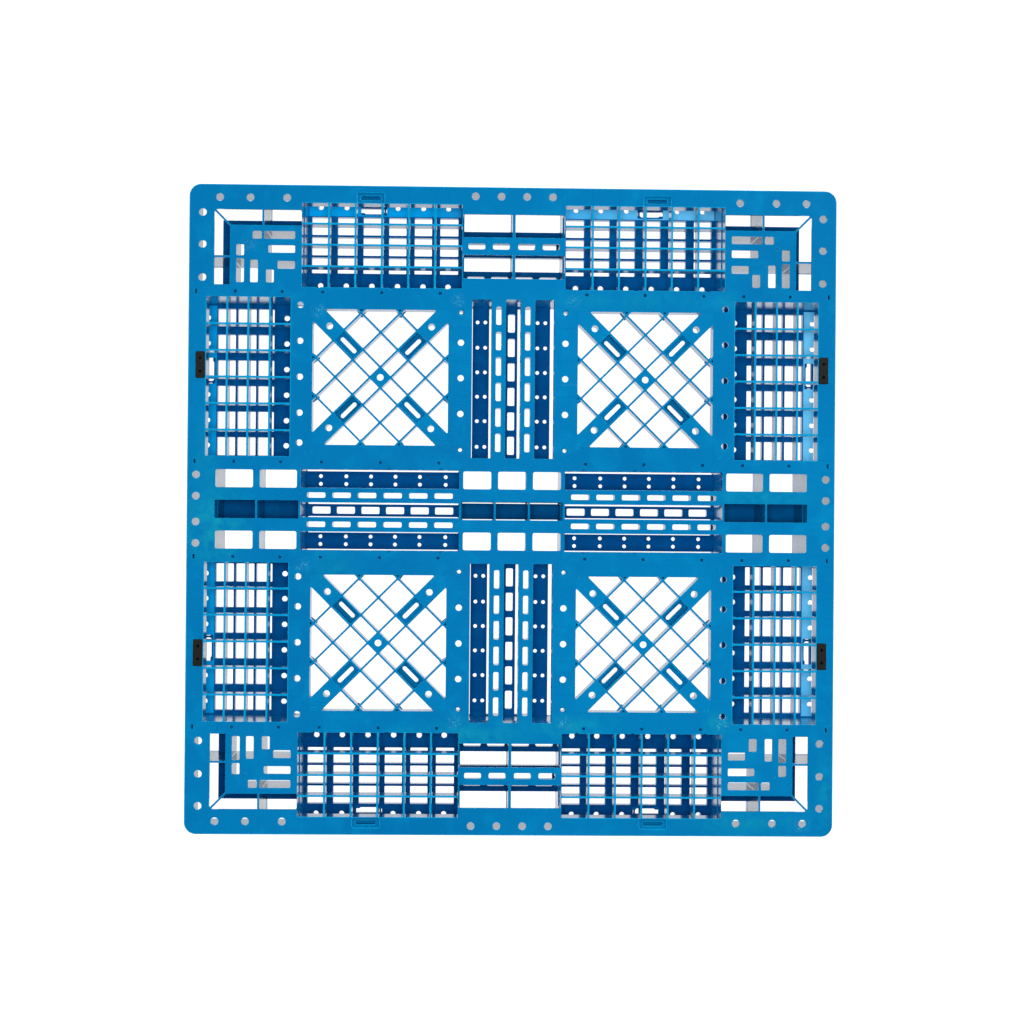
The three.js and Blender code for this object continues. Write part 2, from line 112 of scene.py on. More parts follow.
def rounded(poly, off, rc, k=3):
    """A convex polygon moved outwards by off, its corners rounded to radius rc + off. The number of points doesn't depend on off."""
    p = [Vector(q) for q in poly]
    if area2(p) < 0:
        p.reverse()
    n = len(p)
    out = []
    for i in range(n):
        a, b, c = p[i - 1], p[i], p[(i + 1) % n]
        d1, d2 = (b - a).normalized(), (c - b).normalized()
        n1, n2 = Vector((d1.y, -d1.x)), Vector((d2.y, -d2.x))
        # centre of the corner arc, inside by rc from both sides
        cosv = n1.dot(n2)
        m = (n1 + n2) / max(1e-6, (1 + cosv))
        centre = b - m * rc
        a1 = math.atan2(n1.y, n1.x)
        a2 = math.atan2(n2.y, n2.x)
        while a2 < a1:
            a2 += 2 * math.pi
        rad = rc + off
        for t in range(k + 1):
            ang = a1 + (a2 - a1) * t / k
            out.append((centre.x + rad * math.cos(ang), centre.y + rad * math.sin(ang)))
    return out


def rect(x0, x1, y0, y1):
    a, b = min(x0, x1), max(x0, x1)
    c, d = min(y0, y1), max(y0, y1)
    return [(a, c), (b, c), (b, d), (a, d)]


def circle(x, y, r, n=24):
    return [(x + r * math.cos(2 * math.pi * i / n), y + r * math.sin(2 * math.pi * i / n)) for i in range(n)]


def at_z(loop, z):
    return [(x, y, z) for x, y in loop]


def opening(sol, poly, low, top=TOP, r=R_EDGE, rc=1.4, k=3, bottom_r=0.0, over=4.0):
    """A cutter that leaves a rounded upper edge round the opening, and a rounded lower edge if bottom_r is set."""
    q = 0.7071
    rings = []
    if bottom_r:
        b = bottom_r
        rings.append(at_z(rounded(poly, b + over * 0.7071, rc, k), low - over * 0.2929))
        rings.append(at_z(rounded(poly, b * (1 - q), rc, k), low + b * (1 - q)))
        rings.append(at_z(rounded(poly, 0, rc, k), low + b))
    else:
        rings.append(at_z(rounded(poly, 0, rc, k), low - over))
    rings.append(at_z(rounded(poly, 0, rc, k), top - r))
    rings.append(at_z(rounded(poly, r * (1 - q), rc, k), top - r * (1 - q)))
    # carries on along the last facet to just above the face
    rings.append(at_z(rounded(poly, r * (1 - q) + r * q * 1.6, rc, k), top - r * (1 - q) + r * (1 - q) * 1.6))
    sol.rings(rings)


def drill(sol, x, y, rad, low, top=TOP, r=0.5, n=24):
    q = 0.7071
    c = lambda rr: circle(x, y, rr, n)
    sol.rings([at_z(c(rad), low), at_z(c(rad), top - r), at_z(c(rad + r * (1 - q)), top - r * (1 - q)),
               at_z(c(rad + r * (1 - q) + r * q * 1.6), top - r * (1 - q) + r * (1 - q) * 1.6)])


def hollow(sol, poly, low, high, rc=2.0, k=2, over=5.0, taper=0.0, r=1.0):
    """A cutter from below: a blind hollow that ends at high."""
    sol.rings([at_z(rounded(poly, taper, rc, k), low - over), at_z(rounded(poly, 0, rc, k), high - r),
               at_z(rounded(poly, -r * 0.3, rc, k), high - r * 0.3), at_z(rounded(poly, -r, rc, k), high)])


def block(sol, poly, low, high, rc=1.0, r=0.5, k=2, r_low=None):
    """A solid with rounded upright, upper and lower edges."""
    q = 0.7071
    rl = r if r_low is None else r_low
    rings = []
    if rl:
        rings += [at_z(rounded(poly, -rl, rc, k), low), at_z(rounded(poly, -rl * (1 - q), rc, k), low + rl * (1 - q)), at_z(rounded(poly, 0, rc, k), low + rl)]
    else:
        rings += [at_z(rounded(poly, 0, rc, k), low)]
    if r:
        rings += [at_z(rounded(poly, 0, rc, k), high - r), at_z(rounded(poly, -r * (1 - q), rc, k), high - r * (1 - q)), at_z(rounded(poly, -r, rc, k), high)]
    else:
        rings += [at_z(rounded(poly, 0, rc, k), high)]
    sol.rings(rings)


def mirrored(poly, sx, sy):
    return [(sx * x, sy * y) for x, y in poly]


def scene_object(name, me):
    o = bpy.data.objects.new(name, me)
    bpy.context.scene.collection.objects.link(o)
    return o


def combine(me, sol, op, tag="op"):
    """One boolean step on a mesh; returns the new mesh."""
    a = scene_object("tmp_a", me)
    b = scene_object("tmp_b", sol.mesh("tmp_b") if isinstance(sol, Solids) else sol)
    m = a.modifiers.new("b", "BOOLEAN")
    m.operation = op
    m.solver = "MANIFOLD"
    m.object = b
    dg = bpy.context.evaluated_depsgraph_get()
    out = bpy.data.meshes.new_from_object(a.evaluated_get(dg))
    for o in (a, b):
        d = o.data
        bpy.data.objects.remove(o)
        bpy.data.meshes.remove(d)
    if len(out.polygons) == 0:
        raise RuntimeError(f"boolean step {tag} gave nothing")
    return out


def grid_split(me, xs, ys):
    """Cuts the faces along lines of constant x and y, so that each one holds few openings and no wide ring of them."""
    bm = bmesh.new()
    bm.from_mesh(me)
    for axis, vals in ((0, xs), (1, ys)):
        no = (1, 0, 0) if axis == 0 else (0, 1, 0)
        for v in vals:
            co = (v, 0, 0) if axis == 0 else (0, v, 0)
            bmesh.ops.bisect_plane(bm, geom=bm.verts[:] + bm.edges[:] + bm.faces[:], dist=1e-4, plane_co=co, plane_no=no)
    bm.to_mesh(me)
    bm.free()
    me.update()
    return me


def tidy(me, angle=20.0):
    """Triangulates, and makes the smooth-by-angle shading."""
    bm = bmesh.new()
    bm.from_mesh(me)
    bmesh.ops.triangulate(bm, faces=bm.faces[:])
    bm.normal_update()
    lim = math.radians(angle)
    for f in bm.faces:
        f.smooth = True
    for e in bm.edges:
        if len(e.link_faces) == 2:
            e.smooth = e.calc_face_angle(0.0) < lim
        else:
            e.smooth = False
    bm.to_mesh(me)
    bm.free()
    me.update()


def to_metres(me):
    me.transform(Matrix.Scale(S, 4))
    me.update()


# ------------------------------------------------------------------ deck
def four(sol, poly, fn, *a, **k):
    for sx, sy in QUADS:
        fn(sol, mirrored(poly, sx, sy), *a, **k)


def cells(a, b, ribs, t):
    out, lo = [], a
    for r in ribs:
        out.append((lo, r - t / 2))
        lo = r + t / 2
    out.append((lo, b))
    return out


def clip_convex(poly, nx, ny, c):
    """Keeps the part of a convex polygon where nx*x + ny*y <= c."""
    out = []
    n = len(poly)
    for i in range(n):
        p, q = poly[i], poly[(i + 1) % n]
        dp, dq = nx * p[0] + ny * p[1] - c, nx * q[0] + ny * q[1] - c
        if dp <= 0:
            out.append(p)
        if (dp < 0 < dq) or (dq < 0 < dp):
            t = dp / (dp - dq)
            out.append((p[0] + (q[0] - p[0]) * t, p[1] + (q[1] - p[1]) * t))
    return out


def simple(poly, eps=0.05):
    out = []
    for p in poly:
        if not out or math.hypot(p[0] - out[-1][0], p[1] - out[-1][1]) > eps:
            out.append(p)
    if len(out) > 1 and math.hypot(out[0][0] - out[-1][0], out[0][1] - out[-1][1]) <= eps:
        out.pop()
    return out


def inradius(poly):
    """Largest distance kept from every side, roughly: area over half the outline."""
    per = sum(math.hypot(poly[i][0] - poly[i - 1][0], poly[i][1] - poly[i - 1][1]) for i in range(len(poly)))
    return abs(area2(poly)) / max(per, 1e-6)


def lattice_cells():
    """Open cells of one lattice window about its middle, as polygons, with what each is: 'open', 'plate', 'pocket'."""
    h = (LAT_HI - LAT_LO) / 2
    q = math.sqrt(0.5)
    bounds = [-170] + [-v for v in reversed(LAT_RIBS)] + LAT_RIBS + [170]
    out = []
    for i in range(len(bounds) - 1):
        u0, u1 = bounds[i] + RIB / 2, bounds[i + 1] - RIB / 2
        for j in range(len(bounds) - 1):
            v0, v1 = bounds[j] + RIB / 2, bounds[j + 1] - RIB / 2
            poly = rect(-h, h, -h, h)
            # u = (x + y) q, v = (y - x) q
            for nx, ny, c in ((q, q, u1), (-q, -q, -u0), (-q, q, v1), (q, -q, -v0)):
                poly = clip_convex(poly, nx, ny, c)
                if not poly:
                    break
            poly = simple(poly) if poly else []
            if len(poly) < 3 or abs(area2(poly)) < 16:
                continue
            mid = (len(bounds) - 2) // 2
            kind = "open"
            if i == mid and j == mid:
                kind = "plate"
            elif i == mid or j == mid:
                k = max(abs(i - mid), abs(j - mid))
                kind = {1: "open", 2: "pocket", 3: "plate"}[k]
            out.append((poly, kind, (u0 + u1) / 2, (v0 + v1) / 2))
    return out


def build_deck():
    # body: slab with rounded edges, and the nine legs
    slab = Solids()
    block(slab, rect(-HALF, HALF, -HALF, HALF), DECK_LOW, TOP, rc=20, r=1.6, k=8, r_low=1.0)
    legs = Solids()
    high = DECK_LOW + 6
    four(legs, rect(358, BASE_HALF, 359.4, BASE_HALF), block, LEG_LOW, high, rc=5, r=0, k=3, r_low=0.4)
    for s in (1, -1):
        block(legs, rect(-88, 88, s * 359.4, s * BASE_HALF), LEG_LOW, high, rc=3, r=0, k=3, r_low=0.4)
        block(legs, rect(s * 358, s * BASE_HALF, -90, 90), LEG_LOW, high, rc=3, r=0, k=3, r_low=0.4)
    block(legs, rect(-88, 88, -90, 90), LEG_LOW, high, rc=5, r=0, k=3, r_low=0.4)
    frame_box = Solids()
    block(frame_box, rect(-BASE_HALF, BASE_HALF, -BASE_HALF, BASE_HALF), LEG_LOW - 3, high + 3, rc=19, r=0, k=8, r_low=0)
    legs = combine(legs.mesh("legs"), frame_box, "INTERSECT", "leg corners")
    me = combine(slab.mesh("deck"), legs, "UNION", "legs")

    # hollows of the legs, closed above by the skin
    h = Solids()
    r = RIB / 2
    w = WALL
    for a, b in ((358 + w, 425 - r), (425 + r, ARM_IN - RIB)):
        for c, d in ((378.5, 427.5 - r), (427.5 + r, ARM_IN - RIB)):
            four(h, rect(a, b, c, d), hollow, LEG_LOW, SKIN_LOW)
    # the ring of cells between those and the outer walls
    four(h, rect(358 + w, 425 - r, ARM_IN, RIM), hollow, LEG_LOW, SKIN_LOW)
    four(h, rect(ARM_IN, RIM, 378.5, 427.5 - r), hollow, LEG_LOW, SKIN_LOW)
    four(h, rect(425 + r, RIM, ARM_IN, RIM), hollow, LEG_LOW, SKIN_LOW)
    ring2 = Solids()
    four(ring2, rect(ARM_IN, RIM, 427.5 + r, RIM), hollow, LEG_LOW, SKIN_LOW)
    # edge legs along Y: the rib across them is only as deep as the deck
    for c, d in ((378.5, 449.5 - r), (449.5 + r, RIM)):
        four(h, rect(r, 88 - w, c, d), hollow, LEG_LOW, SKIN_LOW)
    four(ring2, rect(r, 88 - w, 378.5, RIM), hollow, LEG_LOW, DECK_LOW)
    for a, b in ((358 + w, 432.8 - r), (432.8 + r, 502)):
        for s in (1, -1):
            for c, d in ((-15.5, 15.5), (19, 71), (-71, -19)):
                hollow(h, rect(s * a, s * b, c, d), LEG_LOW, SKIN_LOW)
    for s in (1, -1):
        hollow(h, rect(s * (502 + w), s * RIM, -71, 71), LEG_LOW, SKIN_LOW)
    for a, b in ((-84.4, -29 - r), (-29 + r, 29 - r), (29 + r, 84.4)):
        for c, d in ((-15.5, 15.5), (19, 71), (-71, -19)):
            hollow(h, rect(a, b, c, d), LEG_LOW, SKIN_LOW)
    # below the tube channels
    four(h, rect(358 + w, RIM, 359.4 + w, 376), hollow, LEG_LOW, DECK_LOW - 3)
    four(h, rect(358 + w, RIM, 73, 90 - w), hollow, LEG_LOW, DECK_LOW - 3)
    four(h, rect(r, 88 - w, 359.4 + w, 376), hollow, LEG_LOW, DECK_LOW - 3)
    four(h, rect(r, 88 - w, 73, 90 - w), hollow, LEG_LOW, DECK_LOW - 3)
    inner_box = Solids()
    block(inner_box, rect(-RIM, RIM, -RIM, RIM), LEG_LOW - 9, TOP, rc=19 - w, r=0, k=8, r_low=0)
    h = combine(h.mesh("leg hollows"), ring2, "UNION", "leg hollow rings")
    h = combine(h, inner_box, "INTERSECT", "leg hollow corners")
    me = combine(me, h, "DIFFERENCE", "leg hollows")

    h = Solids()
    # underside of the bands between the legs, one hollow for each grid cell
    out_w = HALF - 3.6
    pocket_low = 139.0
    grid = cells(92, 354, [134, 179, 216, 271, 314], 3.0)
    for a, b in grid:
        high = pocket_low if (a < 243 < b) else SKIN_LOW
        four(h, rect(a, b, 522.5, out_w), hollow, DECK_LOW, high)
        four(h, rect(522.5, out_w, a, b), hollow, DECK_LOW, high)
    for a, b in cells(93, 356, [139, 195, 255, 316], 3.0):
        four(h, rect(343, 374, a, b), hollow, DECK_LOW, SKIN_LOW)
    for a, b in cells(113, 328, [134, 195, 255, 311], 3.0):
        four(h, rect(73, 107, a, b), hollow, DECK_LOW, SKIN_LOW)
    for a, b in cells(112, 340, [139, 195, 255, 316], 3.0):
        four(h, rect(a, b, 343, 356), hollow, DECK_LOW, SKIN_LOW)
        four(h, rect(a, b, 93, 107), hollow, DECK_LOW, SKIN_LOW)
    me = combine(me, h, "DIFFERENCE", "hollows")

    # tube channels
    sh = Solids()
    for y in TUBE_Y:
        for s in (1, -1):
            block(sh, rect(-HALF + 3, HALF - 3, s * y - 9, s * y + 9), DECK_LOW, SKIN_LOW + 1, rc=0.5, r=0, k=1, r_low=0.5)
    me = combine(me, sh, "UNION", "channels")
    # closed troughs below the recesses of the edge pockets
    sh = Solids()
    for sx, sy in QUADS:
        block(sh, mirrored(rect(243.4 - 20, 243.4 + 20, 520.6, 535.6), sx, sy), 131, 140, rc=1.5, r=0, r_low=0.8)
        block(sh, mirrored(rect(520.6, 535.6, 243.4 - 20, 243.4 + 20), sx, sy), 131, 140, rc=1.5, r=0, r_low=0.8)
    me = combine(me, sh, "UNION", "troughs")

    me = grid_split(me, SPLIT, SPLIT)

    # openings through the deck
    o = Solids()
    low = DECK_LOW - 1
    # corner windows
    four(o, rect(360, 425 - r, 481, 507.5), opening, low)
    four(o, rect(481, 507.5, 380, 427.5 - r), opening, low)
    d = RIB / math.sqrt(2)
    four(o, [(425 + r, 481), (481 - d, 481), (507.5 - d, 507.5), (425 + r, 507.5)], opening, low, rc=0.9)
    four(o, [(481, 427.5 + r), (507.5, 427.5 + r), (507.5, 507.5 - d), (481, 481 - d)], opening, low, rc=0.9)
    for a, b, c, e in ((371, 423.3, 458, 471), (427.5, 443, 458, 471), (371, 416, 434.5, 447.5), (371, 400.5, 407.5, 420.5),
                       (457, 470, 384, 424.5), (457, 470, 429.5, 448.5), (433.5, 446.5, 384, 422), (406.5, 419.5, 384, 406)):
        four(o, rect(a, b, c, e), opening, low, rc=2.2)
    # grid windows
    for a, b in cells(88, 359.4, CELL_RIBS, RIB):
        for c, e in cells(377, 519.5, LONG_RIBS, RIB):
            four(o, rect(a, b, c, e), opening, low, rc=1.2, k=2)
    for a, b in cells(90, 359.4, CELL_RIBS, RIB):
        for c, e in cells(377.6, 519.5, LONG_RIBS, RIB):
            four(o, rect(c, e, a, b), opening, low, rc=1.2, k=2)
    # edge legs
    four(o, rect(2.4, 86.5, 464.5, 503.5), opening, low, rc=1.6)
    four(o, rect(2.4, 86.5, 394.5, 434.5), opening, low, rc=1.6)
    for c in (21.5, 63):
        four(o, rect(c - 14.3, c + 14.3, 444, 454), opening, low, rc=3.0)
    for a, b in ((364.5, 427), (438.5, 501.8)):
        four(o, rect(a, b, 36.8, 67), opening, low, rc=3.0)
    for s in (1, -1):
        opening(o, rect(s * 361.5, s * (432.8 - r), -15.5, 15.5), low, rc=1.2)
        opening(o, rect(s * (432.8 + r), s * 503, -15.5, 15.5), low, rc=1.2)
        for a, b in ((-82.8, -35.5), (-23.7, 23.7), (35.5, 82.8)):
            opening(o, rect(a, b, s * 36.8, s * 66.8), low, rc=3.0)
    for a, b in ((-86.3, -29 - r), (-29 + r, 29 - r), (29 + r, 86.3)):
        opening(o, rect(a, b, -15.5, 15.5), low, rc=1.2)
    # centre row and column
    four(o, rect(37, 70, 89.5, 359.0), opening, low, rc=1.4)
    four(o, rect(89.7, 358, 37, 68.6), opening, low, rc=1.4)
    for s in (1, -1):
        opening(o, rect(-12.5, 12.5, s * 89.5, s * 359), low, rc=1.4)
        opening(o, rect(s * 89.7, s * 358, -12.5, 12.5), low, rc=1.4)
    for c in SLOTS:
        four(o, rect(24.75 - 4.6, 24.75 + 4.6, c - 15.6, c + 15.6), opening, low, rc=2.6)
        four(o, rect(c - 15.6, c + 15.6, 24.75 - 4.6, 24.75 + 4.6), opening, low, rc=2.6)
    # lattice windows
    for sx, sy in QUADS:
        for poly, kind, u, v in lattice_cells():
            if kind != "open":
                continue
            p = [(sx * (LAT_MID + x), sy * (LAT_MID + y)) for x, y in poly]
            opening(o, p, low, rc=min(1.2, 0.45 * inradius(p)), k=2)
    me = combine(me, o, "DIFFERENCE", "openings")

    # recesses: lattice pockets, edge pockets, the hollow below each closed lattice plate
    p2 = Solids()
    q = math.sqrt(0.5)

    def turned(cx, cy, a, b, c, d, sx, sy):
        """Rectangle a..b along u and c..d along v of a lattice window."""
        return [(sx * (cx + (x - y) * q), sy * (cy + (x + y) * q)) for x, y in rect(a, b, c, d)]

    m, n = LAT_RIBS[1] + r, LAT_RIBS[2] - r
    i0 = LAT_RIBS[0] - r
    for sx, sy in QUADS:
        for s in (1, -1):
            for swap in (False, True):
                box = (s * m, s * n, -i0, i0) if not swap else (-i0, i0, s * m, s * n)
                opening(p2, turned(LAT_MID, LAT_MID, *box, sx, sy), 121 if swap else 141, rc=1.2, k=2, over=0)
                if not swap:
                    hollow(p2, turned(LAT_MID, LAT_MID, *box, sx, sy), DECK_LOW, 136.5, rc=1.2)
        hollow(p2, turned(LAT_MID, LAT_MID, -i0, i0, -i0, i0, sx, sy), DECK_LOW, SKIN_LOW)
    for sx, sy in QUADS:
        opening(p2, mirrored(rect(243.4 - 22.8, 243.4 + 22.8, 529.2 - 8.2, 529.2 + 8.2), sx, sy), 146.2, r=1.2, rc=2.6, k=4, over=0)
        opening(p2, mirrored(rect(529.2 - 8.2, 529.2 + 8.2, 243.4 - 22.8, 243.4 + 22.8), sx, sy), 143, rc=2.0, over=0)
    me = combine(me, p2, "DIFFERENCE", "recesses")

    # small holes and slots
    t = Solids()
    for sx, sy in QUADS:
        for s in (1, -1):
            for swap in (False, True):
                c = (m + n) / 2
                box = (s * c - 17.5, s * c + 17.5, -3.6, 3.6) if not swap else (-3.6, 3.6, s * c - 17.5, s * c + 17.5)
                opening(t, turned(LAT_MID, LAT_MID, *box, sx, sy), low - 3, top=121 if swap else 141, r=0.5, rc=3.4, k=5, over=2)
                k = 122.0 * q
                ex, ey = (s * k, s * k) if not swap else (-s * k, s * k)
                drill(t, sx * (LAT_MID + ex), sy * (LAT_MID + ey), 5.7, low - 3)
        drill(t, sx * LAT_MID, sy * LAT_MID, 5.7, low - 3)
        # pockets' oblong slots
        opening(t, mirrored(rect(243.4 - 17, 243.4 + 17, 529.2 - 3.3, 529.2 + 3.3), sx, sy), 133, top=146.2, r=1.0, rc=3.2, k=5, over=0)
        opening(t, mirrored(rect(529.2 - 3.8, 529.2 + 3.8, 243.4 - 17.5, 243.4 + 17.5), sx, sy), 135, top=143, r=0.5, rc=3.6, k=5, over=0)
        for x, y in ((498.3, 527.8), (447, 527.8), (385, 527.8), (527, 502), (527, 448), (527, 392), (65.5, 534), (21.8, 534), (534.6, 57.9), (534.6, 21.8)):
            drill(t, sx * x, sy * y, 6.5, low - 3)
        for y in (346.5, 285.8, 224.8, 164, 113.3):
            drill(t, sx * 361, sy * y, 5.4, low - 3)
        for y in (337, 285.3, 225, 164.3, 103.5):
            ends = y in (337, 103.5)
            drill(t, sx * 88.8, sy * y, 5.4, 146.5 if ends else low - 3)
        # drain dots over the tubes, and the latch windows at the channel ends
        for ty in TUBE_Y:
            for x in (471.2, 392, 323.5, 223.6, 124.6):
                drill(t, sx * x, sy * ty, 2.9, 145.6, r=0.4, n=20)
            opening(t, mirrored(rect(537.6 - 1.9, 537.6 + 1.9, ty - 4.2, ty + 4.2), sx, sy), 138, rc=0.8, r=0.4, k=2, over=0)
        # half-round notches in the band edges
        for x in (331, 208.5, 113.5):
            drill(t, sx * x, sy * 377.6, 3.1, 141, r=0.3, n=16)
        for x in (208.5, 121):
            drill(t, sx * x, sy * 69.6, 2.8, 141, r=0.3, n=16)
    for y in TUBE_Y:
        for s in (1, -1):
            ring = lambda x: [(x, yy, zz) for yy, zz in rounded(rect(s * y - 7.5, s * y + 7.5, TUBE_Z - 14.3, TUBE_Z + 14.3), 0, 0.8, 2)]
            t.rings([ring(-HALF - 5), ring(HALF + 5)])
    me = combine(me, t, "DIFFERENCE", "holes")
    t = Solids()
    for sx, sy in QUADS:
        for y in (337, 103.5):
            drill(t, sx * 88.8, sy * y, 3.4, low - 3, top=146.5, r=0.5)
    me = combine(me, t, "DIFFERENCE", "end holes")

    # gussets at the lattice window edges
    g = Solids()
    for sx, sy in QUADS:
        for e in (-33.3, 33.3):
            for s in (1, -1):
                edge = LAT_MID + s * 114.5
                tip = LAT_MID + s * 103.5
                for swap in (False, True):
                    tri = [(LAT_MID + e - 9.5, edge + s * 1.5), (LAT_MID + e + 9.5, edge + s * 1.5), (LAT_MID + e, tip)]
                    if swap:
                        tri = [(b, a) for a, b in tri]
                    block(g, mirrored(tri, sx, sy), DECK_LOW, 121, rc=0.4, r=0.4, k=1, r_low=0.3)
    me = combine(me, g, "UNION", "gussets")

    # small raised gate and ejector marks
    g = Solids()
    for sx, sy in QUADS:
        for x, y, rad in ((96, 357, 4.2), (449, 449.5, 3.4), (333, 337, 3.6), (111, 111, 3.6), (353, 94, 3.4)):
            g.rings([at_z(circle(sx * x, sy * y, rad, 20), TOP - 1), at_z(circle(sx * x, sy * y, rad, 20), TOP + 0.1), at_z(circle(sx * x, sy * y, rad - 0.35, 20), TOP + 0.35),
                     ])
    me = combine(me, g, "UNION", "marks")
    g = Solids()
    for sx, sy in QUADS:
        for x, y, rad in ((96, 357, 2.9), (449, 449.5, 2.3), (333, 337, 2.4), (111, 111, 2.4), (353, 94, 2.3)):
            g.rings([at_z(circle(sx * x, sy * y, rad - 0.3, 20), TOP - 0.4), at_z(circle(sx * x, sy * y, rad, 20), TOP - 0.1), at_z(circle(sx * x, sy * y, rad, 20), TOP + 1)])
    # snap windows in the leg walls
    for face, direc, y in snap_places():
        a, b = sorted((face - direc * 5, face + direc * (WALL + 1)))
        block(g, rect(a, b, y - 8, y + 8), 30, 37, rc=0.5, r=0.4, k=1)
    me = combine(me, g, "DIFFERENCE", "snap windows")
    return me


def snap_places():
    out = []
    for row in (1, 0, -1):
        for s in (1, -1):
            out.append((s * 358, s, row * 445 if row else 28))
            out.append((s * BASE_HALF, -s, row * 437 if row else 45))
        yy = row * 475 if row else 28
        out.append((88, -1, yy))
        out.append((-88, 1, yy))
    return out


# ------------------------------------------------------------------ base frame
def build_base():
    body = Solids()
    block(body, rect(-BASE_HALF, BASE_HALF, -BASE_HALF, BASE_HALF), 0, BASE_TOP, rc=19, r=1.2, k=8, r_low=1.2)
    me = body.mesh("base")
    # underside hollows, leaving a skin and ribs
    h = Solids()
    hz = 13.0
    for a, b in cells(94, 353, CELL_RIBS, 3.0):
        four(h, rect(a, b, 379, 392.5), hollow, 0, hz, rc=1.5)
        four(h, rect(a, b, 396.5, 413), hollow, 0, hz, rc=1.5)
        four(h, rect(379, 392.5, a, b), hollow, 0, hz, rc=1.5)
        four(h, rect(396.5, 413, a, b), hollow, 0, hz, rc=1.5)
        four(h, rect(a, b, 524.5, 532), hollow, 0, hz, rc=1.5)
        four(h, rect(524.5, 532, a, b), hollow, 0, hz, rc=1.5)
    for a, b in cells(94, 353, [137.4, 180.6, 223.9, 267.2, 310.2], 3.0):
        four(h, rect(42.2, 51.5, a, b), hollow, 0, hz, rc=1.5)
        four(h, rect(54.5, 64.5, a, b), hollow, 0, hz, rc=1.5)
        four(h, rect(a, b, 42.2, 51.5), hollow, 0, hz, rc=1.5)
        four(h, rect(a, b, 54.5, 64.5), hollow, 0, hz, rc=1.5)
    # under the leg pads
    for a, b in ((-81.5, -34), (-24.5, 24.5), (34, 81.5)):
        hollow(h, rect(a, b, -11.3, 11.3), 0, 14, rc=1.5)
    for s in (1, -1):
        for a, b in ((371, 430), (435.5, 500.5)):
            hollow(h, rect(s * a, s * b, -14.2, 14.2), 0, 14, rc=1.5)
    for a, b in ((382, 421.5), (432, 476)):
        four(h, rect(a, b, 481, 505.2), hollow, 0, 14, rc=1.5)
        four(h, rect(481, 505.2, a, b), hollow, 0, 14, rc=1.5)
    four(h, rect(481, 505.2, 481, 505.2), hollow, 0, 14, rc=1.5)
    four(h, rect(4.5, 82, 485.7, 490), hollow, 0, 14, rc=1.5)
    four(h, rect(4.5, 82, 416, 420), hollow, 0, 14, rc=1.5)
    four(h, rect(4.5, 82, 380, 401), hollow, 0, 14, rc=1.5)
    me = combine(me, h, "DIFFERENCE", "base hollows")
    me = grid_split(me, SPLIT, SPLIT)

    o = Solids()
    low, top = 0.0, BASE_TOP
    kw = dict(top=top, r=0.3, bottom_r=0.3)
    four(o, rect(91, 357.6, 68.2, 376), opening, low, rc=2.0, **kw)
    me = combine(me, o, "DIFFERENCE", "base windows")
    o = Solids()
    four(o, rect(68.2, 376, 91, 359), opening, low, rc=2.0, **kw)
    me = combine(me, o, "DIFFERENCE", "base windows")
    o = Solids()
    for a, b in cells(95, 352, CELL_RIBS, 14.6):
        for c, e in cells(416.6, 515.4, BASE_THIN, 4.0):
            four(o, rect(a, b, c, e), opening, low, rc=1.2, k=2, **kw)
            four(o, rect(c, e, a, b), opening, low, rc=1.2, k=2, **kw)
    # row of gaps before the rim
    for a, b in cells(95, 352, CELL_RIBS, 14.6):
        four(o, rect(a, b, 535.5, RIM), opening, low, rc=1.0, k=2, **kw)
        four(o, rect(535.5, RIM, a, b), opening, low, rc=1.0, k=2, **kw)
    # corner pads
    for a, b in ((379, 423.8), (430, 478.1)):
        for c, e in ((379, 426.3), (432.5, 478.1)):
            four(o, rect(a, b, c, e), opening, low, rc=1.6, **kw)
    four(o, rect(363, 423, 508, RIM), opening, low, rc=1.2, **kw)
    four(o, rect(508, RIM, 383, 425.5), opening, low, rc=1.2, **kw)
    arc = [(RIM - 15.4 + 15.4 * math.cos(math.pi * i / 12), RIM - 15.4 + 15.4 * math.sin(math.pi * i / 12)) for i in range(7)]
    four(o, [(427, 507.6), (RIM, 507.6)] + arc[:7] + [(427, RIM)], opening, low, rc=0.01, k=1, **kw)
    me = combine(me, o, "DIFFERENCE", "base openings 1")
    o = Solids()
    four(o, rect(508, RIM, 429.5, 516), opening, low, rc=0.8, k=1, **kw)
    # edge pads
    for c, e, x in ((422.5, 447, 84.4), (452, 471, 78), (492.5, RIM, 84.4)):
        four(o, rect(2.5, x, c, e), opening, low, rc=1.6, **kw)
    for c in (21.5, 63.5):
        four(o, rect(c - 15.4, c + 15.4, 403.5, 413.5), opening, low, rc=3.0, **kw)
        four(o, rect(c - 15.4, c + 15.4, 473.5, 483.2), opening, low, rc=3.0, **kw)
    for a, b in ((368, 431), (434.5, 502)):
        four(o, rect(a, b, 36, 71), opening, low, rc=1.6, **kw)
    for t in (1, -1):
        for a, b in ((-84.4, -31), (-27, 27), (31, 84.4)):
            opening(o, rect(a, b, t * 36, t * 71), low, rc=1.6, **kw)
            opening(o, rect(a, b, t * 13.8, t * 15.5), low, rc=0.4, k=1, **kw)
    for s in (1, -1):
        opening(o, rect(s * 507, s * RIM, -71, 71), low, rc=1.4, **kw)
    # cross runner
    four(o, rect(10.7, 39.2, 93, 357), opening, low, rc=1.4, **kw)
    four(o, rect(91, 355, 10.7, 39.2), opening, low, rc=1.4, **kw)
    for c in SLOTS:
        for s in (1, -1):
            opening(o, rect(-6.1, 6.1, s * (c - 15.9), s * (c + 15.9)), low, rc=2.2, **kw)
            opening(o, rect(s * (c - 15.9), s * (c + 15.9), -6.1, 6.1), low, rc=2.2, **kw)
    me = combine(me, o, "DIFFERENCE", "base openings")

